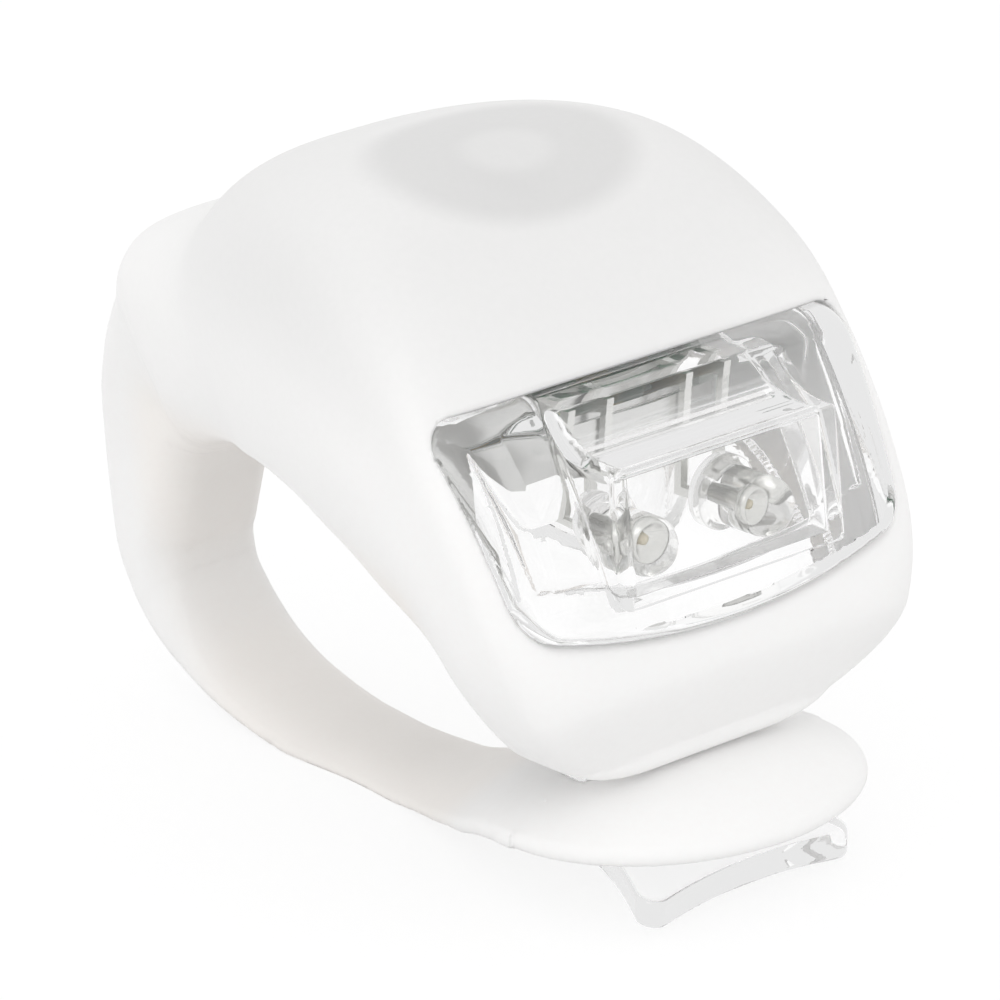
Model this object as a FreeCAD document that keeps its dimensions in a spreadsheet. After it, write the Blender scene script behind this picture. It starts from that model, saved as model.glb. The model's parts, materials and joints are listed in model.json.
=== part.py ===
import FreeCAD, Part
import math
import os
import Sketcher

# Silicone bike light: a soft sleeve with its own strap, round a clear capsule.
# Millimetres. X runs along the handlebar, the lens faces -Y, the button is on top (+Z).
# The light stands on its strap and hook, which touch z = 0.

V = FreeCAD.Vector
doc = FreeCAD.newDocument("silicone_bike_light")

# Driving dimensions: alias, value, meaning
SIZES = [
    ("bar_y", 1.3, "axis of the saddle that sits on the handlebar"),
    ("saddle_radius", 18.0, "radius of the hollow under the light"),
    ("crest_z", 18.55, "crest of that hollow over the resting plane"),
    ("crown_rise", 16.2, "height of the dome over the crest"),
    ("chin_z", 6.95, "lowest line of the chin"),
    ("chin_flat", 7.0, "half width of that line"),
    ("chin_round", 3.2, "rounding of the chin's lower corners"),
    ("skin_wall", 1.5, "silicone over the capsule"),
    ("fit_gap", 0.1, "gap between the capsule and the silicone"),
    ("shell_wall", 0.9, "clear capsule wall"),
    ("stack_y", -2.6, "centre of the cell, board, switch and button"),
    ("lens_top_z", 25.55, "top edge of the window"),
    ("lens_low_z", 14.15, "lower edge of the window at its middle"),
    ("lens_side_z", 15.85, "lower corners of the window"),
    ("lens_top_past", 3.7, "the window's top is wider than the cell by this, each side"),
    ("lens_low_past", 2.5, "the same at its lower corners"),
    ("lens_corner", 1.6, "corner radius of the window"),
    ("lens_proud", 0.5, "the lens stands this far out of the silicone"),
    ("lens_wall", 1.2, "thickness of the lens"),
    ("window_depth", 14.3, "depth of the opening behind the window"),
    ("block_half", 7.4, "half width of the raised lamp block"),
    ("block_wall", 0.8, "thickness of the block's walls"),
    ("block_top_back", 3.9, "back of the block's top face, behind the lamp tips"),
    ("block_brow_ahead", 0.5, "front of the block's top face, ahead of the lamp tips"),
    ("block_brow_z", 23.25, "height of that front edge"),
    ("block_chin_ahead", 1.3, "lower edge of the block's face, ahead of the lamp tips"),
    ("block_chin_z", 16.45, "height of that lower edge"),
    ("block_hollow", 0.7, "sag of the block's top face"),
    ("block_round", 1.1, "rounding of the block's edges"),
    ("board_inset", 0.4, "the board is smaller than the cell by this, all round"),
    ("board_thick", 0.8, "circuit board thickness"),
    ("board_flat", 1.6, "cut off the board's front"),
    ("pin_hole", 0.4, "radius of the board's holes"),
    ("lead_inset", 0.8, "holes for the lamp leads, behind the board's front edge"),
    ("pillar_x", 7.0, "pillars that carry the board, off the middle"),
    ("pillar_y", 4.4, "pillars behind the centre"),
    ("pillar_radius", 1.0, "pillar"),
    ("joint_rise", 0.3, "pins and leads past the board's faces"),
    ("cell_radius", 10.0, "coin cell"),
    ("cell_height", 3.2, "coin cell height"),
    ("can_wall", 0.3, "sheet of the cell's can and cap"),
    ("crimp_width", 0.7, "rolled rim of the can"),
    ("gasket_width", 0.5, "sealing ring between the can and the cap"),
    ("contact_thick", 0.2, "contact springs"),
    ("contact_half", 1.5, "half width of the contact springs"),
    ("cell_floor", 0.2, "seat of the cell above the cover's crest"),
    ("cell_headroom", 1.0, "room between the cell and the board"),
    ("cover_recess", 0.3, "cover set back from the silicone rim"),
    ("cover_thick", 1.2, "battery cover"),
    ("led_spacing", 7.8, "distance between the two lamps"),
    ("led_z", 18.4, "height of the lamps"),
    ("led_ahead", 5.9, "the lamps reach this far ahead of the cell"),
    ("led_radius", 1.5, "lamp body"),
    ("led_length", 4.9, "lamp body with its flange"),
    ("led_flange", 1.9, "flange radius"),
    ("lead_width", 0.45, "square lamp leads"),
    ("lead_pitch", 2.54, "distance between the leads of a lamp"),
    ("lead_step", 0.75, "the leads rise this far behind the lamp's foot"),
    ("lead_drop", 0.5, "their level run is this far under the board"),
    ("switch_side", 6.0, "tact switch, square"),
    ("switch_high", 3.4, "switch body height"),
    ("switch_plate", 0.3, "metal cover of the switch"),
    ("switch_floor", 0.8, "floor of the switch's well"),
    ("well_radius", 2.4, "well of the switch"),
    ("dome_rise", 0.7, "height of the snap dome"),
    ("dome_sheet", 0.12, "sheet of the snap dome"),
    ("flange_radius", 2.15, "foot of the plunger"),
    ("flange_high", 0.7, "height of that foot"),
    ("slide_gap", 0.08, "running clearance of the plunger"),
    ("terminal_reach", 1.1, "switch legs beside the body"),
    ("terminal_row", 2.25, "switch legs off the middle"),
    ("terminal_width", 0.7, "switch legs"),
    ("plunger_radius", 1.7, "switch plunger"),
    ("plunger_rise", 1.6, "plunger above the switch"),
    ("pad_radius", 7.2, "soft button in the dome"),
    ("pad_gap", 0.1, "parting gap round the button"),
    ("nub_radius", 2.6, "nub under the button"),
    ("chip_length", 4.9, "controller chip"),
    ("chip_width", 3.9, "controller chip across its pins"),
    ("chip_high", 1.4, "controller chip height"),
    ("chip_y", 6.3, "controller chip behind the centre"),
    ("pin_pitch", 1.27, "chip pins"),
    ("pin_width", 0.4, "chip pins"),
    ("pin_reach", 0.9, "chip pins beside the body"),
    ("resistor_x", 6.2, "resistors off the middle"),
    ("resistor_y", 2.6, "resistors ahead of the centre"),
    ("resistor_length", 2.0, "resistors"),
    ("resistor_width", 1.25, "resistors"),
    ("resistor_high", 0.5, "resistors"),
    ("loop_y", 4.0, "centre of the strap's loop"),
    ("loop_z", 13.25, "height of that centre"),
    ("loop_back", 19.5, "reach of the loop to the back"),
    ("loop_top", 15.1, "reach of the loop upwards"),
    ("strap_thick_low", 2.0, "strap under the bar"),
    ("strap_half", 4.6, "half width of the strap"),
    ("bend_z", 16.0, "height where the strap starts to bend"),
    ("bend_gap", 0.05, "parting gap there"),
    ("tongue_y", -23.5, "tip of the tongue"),
    ("tongue_rise", 3.7, "height of the tongue over the resting plane"),
    ("tongue_half", 12.0, "half width of the tongue"),
    ("tongue_thick", 2.2, "tongue thickness"),
    ("slot_ahead", 1.9, "centre of the hook's slot, ahead of the cell"),
    ("slot_gap", 0.15, "room round the hook's stem"),
    ("stem_thick", 1.5, "thickness of the hook"),
    ("stem_half", 5.8, "half width of the hook's stem"),
    ("hook_half", 7.0, "half width of the hook's lip"),
    ("hook_tip_y", -21.2, "front of the hook's lip"),
    ("hook_rest", 0.2, "hook tip above the resting plane"),
    ("hook_gap", 0.3, "room between the lip and the tongue"),
]

# Levels that follow from them: alias, formula, meaning
LEVELS = [
    ("bar_z", "=crest_z - saddle_radius", "height of the saddle's axis"),
    ("body_wide", "=cell_radius / 10", "the body's width and length follow the cell"),
    ("body_tall", "=crown_rise / 16.2", "the body's heights follow the dome"),
    ("body_turn", "=body_wide * 18 * body_tall / saddle_radius", "the stations' angles follow the saddle"),
    ("lens_top_half", "=cell_radius + lens_top_past", "half width of the window at the top"),
    ("lens_low_half", "=cell_radius + lens_low_past", "half width of the window at its lower corners"),
    ("led_tip_y", "=stack_y - cell_radius - led_ahead", "front of the lamps"),
    ("block_top_y", "=led_tip_y + block_top_back", "back of the block's top face"),
    ("block_brow_y", "=led_tip_y - block_brow_ahead", "front of the block's top face"),
    ("block_chin_y", "=led_tip_y - block_chin_ahead", "lower edge of the block's face"),
    ("slot_y", "=stack_y - cell_radius - slot_ahead", "centre of the slot for the hook"),
    ("board_radius", "=cell_radius - board_inset", "circuit board"),
    ("board_front", "=board_radius - board_flat", "straight front edge of the board"),
    ("lead_row", "=board_front - lead_inset", "holes for the lamp leads"),
    ("crimp_radius", "=cell_radius - crimp_width", "opening of the can's rolled rim"),
    ("cap_radius", "=crimp_radius - gasket_width", "cell cap"),
    ("cover_outer", "=saddle_radius + cover_recess", "outer face of the battery cover"),
    ("cover_inner", "=cover_outer + cover_thick", "inner face of the battery cover"),
    ("cell_z", "=bar_z + cover_inner + cell_floor", "underside of the cell"),
    ("cell_top", "=cell_z + cell_height", "top of the cell"),
    ("board_z", "=cell_top + cell_headroom", "underside of the board"),
    ("switch_z", "=board_z + board_thick", "top of the board"),
    ("well_z", "=switch_z + switch_floor", "floor of the switch's well"),
    ("plunger_z", "=well_z + dome_rise", "underside of the plunger"),
    ("plate_z", "=switch_z + switch_high - switch_plate", "underside of the switch's cover"),
    ("plunger_top", "=switch_z + switch_high + plunger_rise", "top of the plunger"),
    ("bore_z", "=plate_z - 1.5 * switch_floor", "start of the bore for the button"),
]

sheet = doc.addObject("Spreadsheet::Sheet", "sizes")
for row, (alias, value, meaning) in enumerate(SIZES + LEVELS, start=1):
    sheet.set(f"A{row}", meaning)
    sheet.set(f"B{row}", str(value))
    sheet.setAlias(f"B{row}", alias)
doc.recompute()
size = {alias: float(sheet.get(alias)) for alias, _value, _meaning in SIZES + LEVELS}

# Stations of the body, as seen from the side: angle from straight up towards the lens,
# roof and shoulder over the saddle, half width, squareness of the roof,
# how far the foot is drawn in, and the foot's height over the saddle.
BODY_STATIONS = [
    ("chin", 69.0, 2.9, 1.3, 10.4, 3.0, 1.3, 0.0),
    ("lip", 61.0, 6.2, 2.8, 12.6, 4.0, 2.6, 0.0),
    ("cheek", 48.0, 7.4, 4.0, 14.1, 5.0, 2.7, 0.0),
    ("brow", 31.0, 10.4, 5.4, 14.7, 4.4, 2.0, 0.0),
    ("forehead", 20.0, 13.9, 6.3, 14.4, 3.6, 1.9, 0.0),
    ("crown", 6.0, 16.2, 6.8, 13.3, 3.1, 1.7, 0.0),
    ("poll", -10.0, 14.7, 6.6, 11.1, 2.7, 1.3, 0.0),
    ("nape", -24.0, 12.4, 5.6, 8.2, 2.7, 0.8, 0.3),
    ("root", -38.0, 11.9, 5.4, 5.4, 3.0, 0.5, 1.8),
]
BODY_STEP = 9.0
CAPSULE_FRONT = 60.0
CAPSULE_BACK = -22.0


def smooth_value(column, angle):
    """A station column at any angle, by a cubic through the stations with limited slopes."""
    rows = sorted(BODY_STATIONS, key=lambda station: station[1])
    xs = [station[1] for station in rows]
    ys = [station[column] for station in rows]
    chords = [(ys[i + 1] - ys[i]) / (xs[i + 1] - xs[i]) for i in range(len(xs) - 1)]
    slopes = [chords[0]]
    for before, after in zip(chords, chords[1:]):
        slopes.append(0.0 if before * after <= 0 else 2 * before * after / (before + after))
    slopes.append(chords[-1])
    i = max(0, min(len(xs) - 2, sum(1 for x in xs[1:-1] if x <= angle)))
    span = xs[i + 1] - xs[i]
    t = (angle - xs[i]) / span
    return ((1 + 2 * t) * (1 - t) ** 2 * ys[i] + t * (1 - t) ** 2 * span * slopes[i]
            + t * t * (3 - 2 * t) * ys[i + 1] + t * t * (t - 1) * span * slopes[i + 1])


def from_bar(angle, radius, x=0.0):
    """A point at this station angle and distance from the handlebar axis."""
    a = math.radians(angle * size["body_turn"])
    return V(x, size["bar_y"] - radius * math.sin(a), size["bar_z"] + radius * math.cos(a))


def body_section(angle, inset, foot_drop):
    """Closed outline of the body at one angle: straight foot, flank and rounded roof."""
    saddle = size["saddle_radius"]
    tall = size["body_tall"]
    reach = saddle + smooth_value(2, angle) * tall - inset
    shoulder = min(saddle + smooth_value(3, angle) * tall, reach - 1.0)
    half = smooth_value(4, angle) * size["body_wide"] - inset
    power = smooth_value(5, angle)
    foot = saddle + smooth_value(7, angle) * tall - foot_drop
    tuck = smooth_value(6, angle) * size["body_wide"]
    flank = [(half - tuck * (1 - rise) ** 2, foot + rise * (shoulder - foot)) for rise in (0, 0.33, 0.67)]
    roof = []
    for degrees in (0, 12, 25, 40, 55, 72, 90):
        c = math.cos(math.radians(degrees))
        s = math.sin(math.radians(degrees))
        roof.append((half * max(c, 0.0) ** (2 / power), shoulder + (reach - shoulder) * s ** (2 / power)))
    right = flank + roof
    points = [from_bar(angle, r, -x) for x, r in right[:-1]]
    points += [from_bar(angle, r, x) for x, r in reversed(right)]
    curve = Part.BSplineCurve()
    curve.interpolate(Points=points, Parameters=[float(i) for i in range(len(points))])
    return Part.Wire([curve.toShape(), Part.makeLine(points[-1], points[0])])


def body_loft(inset, foot_drop, front, back):
    """The body between two angles, drawn in by an inset and carried on below its foot."""
    count = max(3, int(round((front - back) / BODY_STEP)))
    angles = [front + (back - front) * i / count for i in range(count + 1)]
    return Part.makeLoft([body_section(a, inset, foot_drop) for a in angles], True)


# Longer than the light, for tools that cut right through it
BEYOND = 3.5 * size["saddle_radius"]


def bar_cylinder(radius):
    """A cylinder along the handlebar axis."""
    return Part.makeCylinder(radius, BEYOND, V(-BEYOND / 2, size["bar_y"], size["bar_z"]), V(1, 0, 0))


def button_bore(radius):
    """A cylinder round the axis of the switch, from above its well to past the dome."""
    return Part.makeCylinder(radius, BEYOND, V(0, size["stack_y"], size["bore_z"]))


def feature(label, shape):
    """A sub-part whose free form is worked out here from the sheet."""
    part = doc.addObject("Part::Feature", label)
    part.Shape = shape
    part.Label = label
    part.Placement = FreeCAD.Placement()
    return part


# Silicone sleeve and button
def window_prism(margin):
    """The window's outline seen from the front, pushed through the front of the body."""
    top = size["lens_top_z"] - margin
    side = size["lens_side_z"] + margin
    low = size["lens_low_z"] + margin
    wide = size["lens_top_half"] - margin
    narrow = size["lens_low_half"] - margin
    y = size["block_chin_y"] - 5.0
    corners = [V(-wide, y, top), V(wide, y, top), V(narrow, y, side)]
    edges = [Part.makeLine(corners[0], corners[1]), Part.makeLine(corners[1], corners[2]),
             Part.Arc(corners[2], V(0, y, low), V(-narrow, y, side)).toShape(),
             Part.makeLine(V(-narrow, y, side), corners[0])]
    solid = Part.Face(Part.Wire(edges)).extrude(V(0, size["window_depth"], 0))
    upright = [e for e in solid.Edges if len(e.Vertexes) == 2 and abs(e.tangentAt(e.FirstParameter).y) > 0.99]
    return solid.makeFillet(max(0.3, size["lens_corner"] - margin), upright)


def chin_mask(margin=0.0):
    """Front view of everything above the chin, whose lower corners are rounded away."""
    y = size["tongue_y"] - 5.0
    low = size["chin_z"] + margin
    flat = size["chin_flat"] - margin / 2
    side = size["chin_round"]
    wide = flat + side
    bulge = 0.3 * side
    p = [V(-wide, y, low + side), V(-flat, y, low), V(flat, y, low), V(wide, y, low + side),
         V(2 * wide, y, low + 5 * side), V(2 * wide, y, BEYOND), V(-2 * wide, y, BEYOND),
         V(-2 * wide, y, low + 5 * side)]
    edges = [Part.Arc(p[0], V(bulge - wide, y, low + bulge), p[1]).toShape(), Part.makeLine(p[1], p[2]),
             Part.Arc(p[2], V(wide - bulge, y, low + bulge), p[3]).toShape()]
    edges += [Part.makeLine(a, b) for a, b in zip(p[3:], p[4:] + p[:1])]
    return Part.Face(Part.Wire(edges)).extrude(V(0, BEYOND, 0))


# The strap, from its root at the body to the tongue
LOOP_POWER = 2.8
# Stations round the loop: angle from the back (up is positive), thickness, lean of the section below level
LOOP_STATIONS = [(42, 10.0, 52), (30, 9.9, 46), (20, 9.2, 41), (10, 8.1, 35), (0, 6.9, 27), (-13, 5.7, 15),
                 (-27, 4.7, 0), (-42, 3.9, -22), (-56, 3.2, -45), (-70, 2.5, -72), (-83, 2.1, -87)]


def loop_point(degrees):
    """Outer line of the strap's loop, a squarish oval: 0 is the back, -90 the bottom."""
    c = math.cos(math.radians(degrees))
    s = math.sin(math.radians(degrees))
    up = size["loop_top"] if s > 0 else size["loop_z"]
    y = size["loop_y"] + size["loop_back"] * abs(c) ** (2 / LOOP_POWER)
    return y, size["loop_z"] + math.copysign(up * abs(s) ** (2 / LOOP_POWER), s)


def strap_path():
    """Stations of the strap from its root to the tongue: outer point, thickness, lean, swell of the width."""
    stations = []
    for degrees, thick, lean in LOOP_STATIONS:
        y, z = loop_point(degrees)
        stations.append((y, z, thick, lean, 0.0, max(0.0, degrees / 42)))
    front = size["tongue_y"] - 1.0
    start = size["loop_y"]
    for i in range(8):
        y = start + (front - start) * i / 7
        u = min(1.0, max(0.0, (start - 3.0 - y) / (start - 3.0 - size["slot_y"])))
        swell = min(1.0, max(0.0, (start - 1.0 - y) / (start + 1.0 - size["slot_y"])))
        swell = swell * swell * (2.4 - 1.4 * swell)
        thick = size["strap_thick_low"] + (size["tongue_thick"] - size["strap_thick_low"]) * swell
        climb = math.degrees(math.atan(6 * u * (1 - u) * size["tongue_rise"] / (start - 3.0 - size["slot_y"])))
        stations.append((y, size["tongue_rise"] * u * u * (3 - 2 * u), thick, climb - 90, swell, 0.0))
    return stations


def strap_section(y, z, thick, lean, swell, root):
    """Closed outline across the strap: flat inside, crowned outside, with soft edges."""
    half = size["strap_half"] + (size["tongue_half"] + 0.4 - size["strap_half"]) * swell + 0.7 * root
    normal = (-math.cos(math.radians(lean)), -math.sin(math.radians(lean)))
    edges = []
    for turn in (0, 180):
        outline = []
        for degrees in (0, 12, 30, 55, 90, 125, 150, 168, 180):
            c = math.cos(math.radians(degrees + turn))
            s = math.sin(math.radians(degrees + turn))
            power = 3.2 if turn == 0 else 3.4
            x = half * math.copysign(abs(c) ** (2 / power), c)
            d = thick * (0.5 + 0.5 * math.copysign(abs(s) ** (2 / power), s))
            outline.append(V(x, y + normal[0] * d, z + normal[1] * d))
        curve = Part.BSplineCurve()
        curve.interpolate(Points=outline, Parameters=[float(i) for i in range(len(outline))])
        edges.append(curve.toShape())
    return Part.Wire(edges)


band = Part.makeLoft([strap_section(*station) for station in strap_path()], True)
tongue_centre = size["tongue_y"] + size["tongue_half"]
tongue_plan = Part.makeCylinder(size["tongue_half"], BEYOND, V(0, tongue_centre, -5.0))
behind_tongue = Part.makeBox(BEYOND, BEYOND, BEYOND, V(-BEYOND / 2, tongue_centre, -5.0))
band = band.common(behind_tongue.fuse(tongue_plan))
stem_back = size["slot_y"] + size["stem_thick"] / 2
stem_front = size["slot_y"] - size["stem_thick"] / 2
slot_half = size["stem_half"] + size["slot_gap"]
slot = Part.makeBox(2 * slot_half, size["stem_thick"] + 2 * size["slot_gap"], 12.0,
                    V(-slot_half, stem_front - size["slot_gap"], -3.0))
band = band.cut(slot)
above_bend = Part.makeBox(BEYOND, BEYOND, BEYOND, V(-BEYOND / 2, size["bar_y"] + 5.0, size["bend_z"]))
below_bend = Part.makeBox(BEYOND, 2 * BEYOND, BEYOND,
                          V(-BEYOND / 2, -BEYOND, size["bend_z"] - size["bend_gap"] - BEYOND))
strap_root = band.common(above_bend)
strap = feature("silicone_strap", band.common(below_bend))

outer_body = body_loft(0.0, 0.0, BODY_STATIONS[0][1], BODY_STATIONS[-1][1])
outer_body = outer_body.common(chin_mask())
pocket = body_loft(size["skin_wall"], 2.0, CAPSULE_FRONT, CAPSULE_BACK).common(chin_mask(size["skin_wall"]))
chin_slot = Part.makeBox(2 * slot_half, 4.0, 10.0, V(-slot_half, stem_front - size["fit_gap"], 2.0))
stack = V(0, size["stack_y"], 0)
pad_bore = button_bore(size["pad_radius"])
sleeve_shape = outer_body.fuse(strap_root).cut([pocket, window_prism(0.0), chin_slot, pad_bore])
sleeve = feature("silicone_sleeve", sleeve_shape)

pad_skin = outer_body.common(button_bore(size["pad_radius"] - size["pad_gap"]))
pad_skin = pad_skin.cut(pocket)
nub = Part.makeCylinder(size["nub_radius"], BEYOND, stack + V(0, 0, size["plunger_top"])).common(outer_body)
pad = feature("button_pad", pad_skin.fuse(nub).removeSplitter())

# Clear lens housing
capsule_inset = size["skin_wall"] + size["fit_gap"]
capsule = body_loft(capsule_inset, 2.0, CAPSULE_FRONT - 0.4, CAPSULE_BACK + 0.4)
capsule = capsule.common(chin_mask(capsule_inset))
capsule_hollow = body_loft(capsule_inset + size["shell_wall"], 3.0, CAPSULE_FRONT - 2.6, CAPSULE_BACK + 2.4)
capsule_hollow = capsule_hollow.common(chin_mask(capsule_inset + size["shell_wall"]))
lens_slab = window_prism(size["fit_gap"]).common(
    body_loft(-size["lens_proud"], 2.0, CAPSULE_FRONT + 4.0, 16.0))
lens_slab = lens_slab.cut(body_loft(size["lens_wall"], 3.0, CAPSULE_FRONT + 4.5, 15.0))
front_chamber = window_prism(size["lens_wall"]).common(
    body_loft(size["lens_wall"] - size["lens_proud"], 3.0, CAPSULE_FRONT - 3.0, 15.0))


def block_outline(inset):
    """Side view of the raised block, with a sagging top face."""
    top = V(0, size["block_top_y"] + 3 * inset, size["lens_top_z"] - 0.3 - inset)
    brow = V(0, size["block_brow_y"] + inset, size["block_brow_z"] - 0.6 * inset)
    floor = size["block_chin_z"] + inset / 2
    back = size["block_top_y"] + size["block_top_back"]
    chin = V(0, size["block_chin_y"] + inset, floor)
    heel = V(0, back, floor)
    roof = V(0, back, size["lens_top_z"] - 0.3 - inset)
    sag = (top + brow) / 2 - V(0, -0.46, 0.89) * size["block_hollow"]
    return [Part.Arc(top, sag, brow).toShape(), Part.makeLine(brow, chin), Part.makeLine(chin, heel),
            Part.makeLine(heel, roof), Part.makeLine(roof, top)]


def block_solid(inset):
    """The raised block between its two side faces."""
    half = size["block_half"] - inset
    face = Part.Face(Part.Wire(block_outline(inset)))
    face.translate(V(-half, 0, 0))
    return face.extrude(V(2 * half, 0, 0))


block = block_solid(0.0)
front_edges = [e for e in block.Edges if all(v.Y < size["block_brow_y"] + 0.1 for v in e.Vertexes)]
block = block.makeFillet(size["block_round"], front_edges)
housing_shape = capsule.cut([capsule_hollow, bar_cylinder(size["cover_inner"])])
housing_shape = housing_shape.cut(button_bore(size["pad_radius"]))
pillars = []
for side in (-1, 1):
    foot = stack + V(side * size["pillar_x"], size["pillar_y"], 0)
    pillar = Part.makeCylinder(size["pillar_radius"], BEYOND, foot + V(0, 0, size["switch_z"]))
    pin_z = size["board_z"] - size["joint_rise"]
    pin = Part.makeCylinder(size["pin_hole"], 2.5 * size["board_thick"], foot + V(0, 0, pin_z))
    pillars.append(pillar.fuse(pin).common(capsule))
housing_shape = housing_shape.fuse([lens_slab, block.cut(bar_cylinder(size["cover_inner"] + 0.5))])
front_chamber = front_chamber.cut(bar_cylinder(size["cover_inner"]))
housing_shape = housing_shape.cut([front_chamber, block_solid(size["block_wall"])])
housing_shape = housing_shape.cut(capsule_hollow).fuse(pillars).removeSplitter()
housing = feature("lens_housing", housing_shape)

# Battery cover with its hook
cover_plate = capsule.common(bar_cylinder(size["cover_inner"])).cut(bar_cylinder(size["cover_outer"]))
seat_foot = stack + V(0, 0, size["cell_z"] - BEYOND)
seat = Part.makeCylinder(size["cell_radius"] - size["crimp_width"], BEYOND, seat_foot)
seat = seat.cut(Part.makeCylinder(size["cap_radius"] - size["gasket_width"], BEYOND, seat_foot))
seat = seat.common(capsule_hollow).cut(bar_cylinder(size["cover_outer"] + 0.2))

lip_top_z = size["tongue_rise"] - size["hook_gap"]
stem_top_z = size["bar_z"] + math.sqrt(size["cover_inner"] ** 2 - (size["bar_y"] - stem_front) ** 2) - 0.02
lip_drop = lip_top_z - size["stem_thick"] - size["hook_rest"]


def hook_outline():
    """Side view of the hook: down from the cover, then forward and slightly down."""
    t = size["stem_thick"]
    tip = size["hook_tip_y"]
    knee = 1.6
    p = [V(0, stem_front, stem_top_z), V(0, stem_front, lip_top_z + 0.5), V(0, stem_front - 0.5, lip_top_z),
         V(0, tip, lip_top_z - lip_drop), V(0, tip, lip_top_z - lip_drop - t),
         V(0, stem_front - knee / 2, lip_top_z - t), V(0, stem_back, lip_top_z - t + knee),
         V(0, stem_back, stem_top_z)]
    return [Part.makeLine(p[0], p[1]),
            Part.Arc(p[1], V(0, stem_front - 0.15, lip_top_z + 0.15), p[2]).toShape(),
            Part.makeLine(p[2], p[3]), Part.makeLine(p[3], p[4]), Part.makeLine(p[4], p[5]),
            Part.Arc(p[5], V(0, stem_back - 0.45, lip_top_z - t + 0.45), p[6]).toShape(),
            Part.makeLine(p[6], p[7]), Part.makeLine(p[7], p[0])]


def hook_plan():
    """Plan of the hook: straight stem, sides that flare to the lip, hollow front edge."""
    wide = size["hook_half"]
    narrow = size["stem_half"]
    tip = size["hook_tip_y"]
    z = -5.0
    right = [V(narrow, stem_back, z), V(narrow, stem_front - 0.8, z), V(wide, tip + 1.2, z), V(wide - 1.2, tip, z)]
    left = [V(-p.x, p.y, p.z) for p in right]
    return [Part.makeLine(left[0], right[0]), Part.makeLine(right[0], right[1]),
            Part.Arc(right[1], V((narrow + wide) / 2 - 0.35, (right[1].y + right[2].y) / 2, z), right[2]).toShape(),
            Part.Arc(right[2], V(wide - 0.35, tip + 0.35, z), right[3]).toShape(),
            Part.Arc(right[3], V(0, tip + 0.8, z), left[3]).toShape(),
            Part.Arc(left[3], V(0.35 - wide, tip + 0.35, z), left[2]).toShape(),
            Part.Arc(left[2], V(0.35 - (narrow + wide) / 2, (left[1].y + left[2].y) / 2, z), left[1]).toShape(),
            Part.makeLine(left[1], left[0])]


hook_side = Part.Face(Part.Wire(hook_outline()))
hook_side.translate(V(-size["hook_half"] - 1, 0, 0))
hook = hook_side.extrude(V(2 * size["hook_half"] + 2, 0, 0))
hook = hook.common(Part.Face(Part.Wire(hook_plan())).extrude(V(0, 0, BEYOND)))
cover = feature("battery_cover", cover_plate.fuse([seat, hook]).removeSplitter())

# Bodies drawn in sketches
def new_body(label, y="sizes.stack_y", z="sizes.board_z", x="0"):
    """An empty body; its place is given as expressions."""
    body = doc.addObject("PartDesign::Body", label)
    body.Label = label
    for axis, expression in (("x", x), ("y", y), ("z", z)):
        body.setExpression(f"Placement.Base.{axis}", expression)
    return body


def bind_point(sketch, index, position, x, y):
    """Tie one point of a sketch to two expressions."""
    for kind, expression in (("DistanceX", x), ("DistanceY", y)):
        number = sketch.addConstraint(Sketcher.Constraint(kind, -1, 1, index, position, 1.0))
        sketch.setExpression(f"Constraints[{number}]", expression)


def new_sketch(body, name, role, loops=(), circles=()):
    """A sketch of closed polygons and circles on one of the body's planes."""
    sketch = body.newObject("Sketcher::SketchObject", name)
    plane = next(item for item in body.Origin.OriginFeatures if item.Role == role)
    sketch.AttachmentSupport = [(plane, "")]
    sketch.MapMode = "FlatFace"
    for loop in loops:
        first = sketch.GeometryCount
        count = len(loop)
        start = [V(math.cos(2 * math.pi * i / count), math.sin(2 * math.pi * i / count), 0) for i in range(count)]
        for i in range(count):
            sketch.addGeometry(Part.LineSegment(start[i], start[(i + 1) % count]))
        for i in range(count):
            sketch.addConstraint(Sketcher.Constraint("Coincident", first + i, 2, first + (i + 1) % count, 1))
        for i, (x, y) in enumerate(loop):
            bind_point(sketch, first + i, 1, x, y)
    for x, y, radius in circles:
        index = sketch.addGeometry(Part.Circle(V(0, 0, 0), V(0, 0, 1), 1.0))
        bind_point(sketch, index, 3, x, y)
        number = sketch.addConstraint(Sketcher.Constraint("Radius", index, 1.0))
        sketch.setExpression(f"Constraints[{number}]", radius)
    return sketch


def rectangle(x_low, y_low, x_high, y_high):
    """Four corners as expressions."""
    return [(x_low, y_low), (x_high, y_low), (x_high, y_high), (x_low, y_high)]


def solid_of(body, name, kind, sketch, **expressions):
    """A pad, pocket or revolution of a sketch, with its sizes bound to the sheet."""
    step = body.newObject(f"PartDesign::{kind}", name)
    step.Profile = sketch
    for field, expression in expressions.items():
        step.setExpression(field, expression)
    return step


def turned(body, name, loop):
    """A revolution of a half profile about the body's upright axis."""
    sketch = new_sketch(body, name + "_profile", "XZ_Plane", [loop])
    step = body.newObject("PartDesign::Revolution", name)
    step.Profile = sketch
    step.ReferenceAxis = (sketch, ["V_Axis"])
    step.Angle = 360.0
    return step


def repeated(body, name, original, axis, sketch, length, count):
    """A row of one feature; the row becomes the body's result."""
    row = body.newObject("PartDesign::LinearPattern", name)
    row.Originals = [original]
    row.Direction = (sketch, [axis])
    row.setExpression("Length", length)
    row.Occurrences = count
    body.Tip = row
    return row


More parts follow.
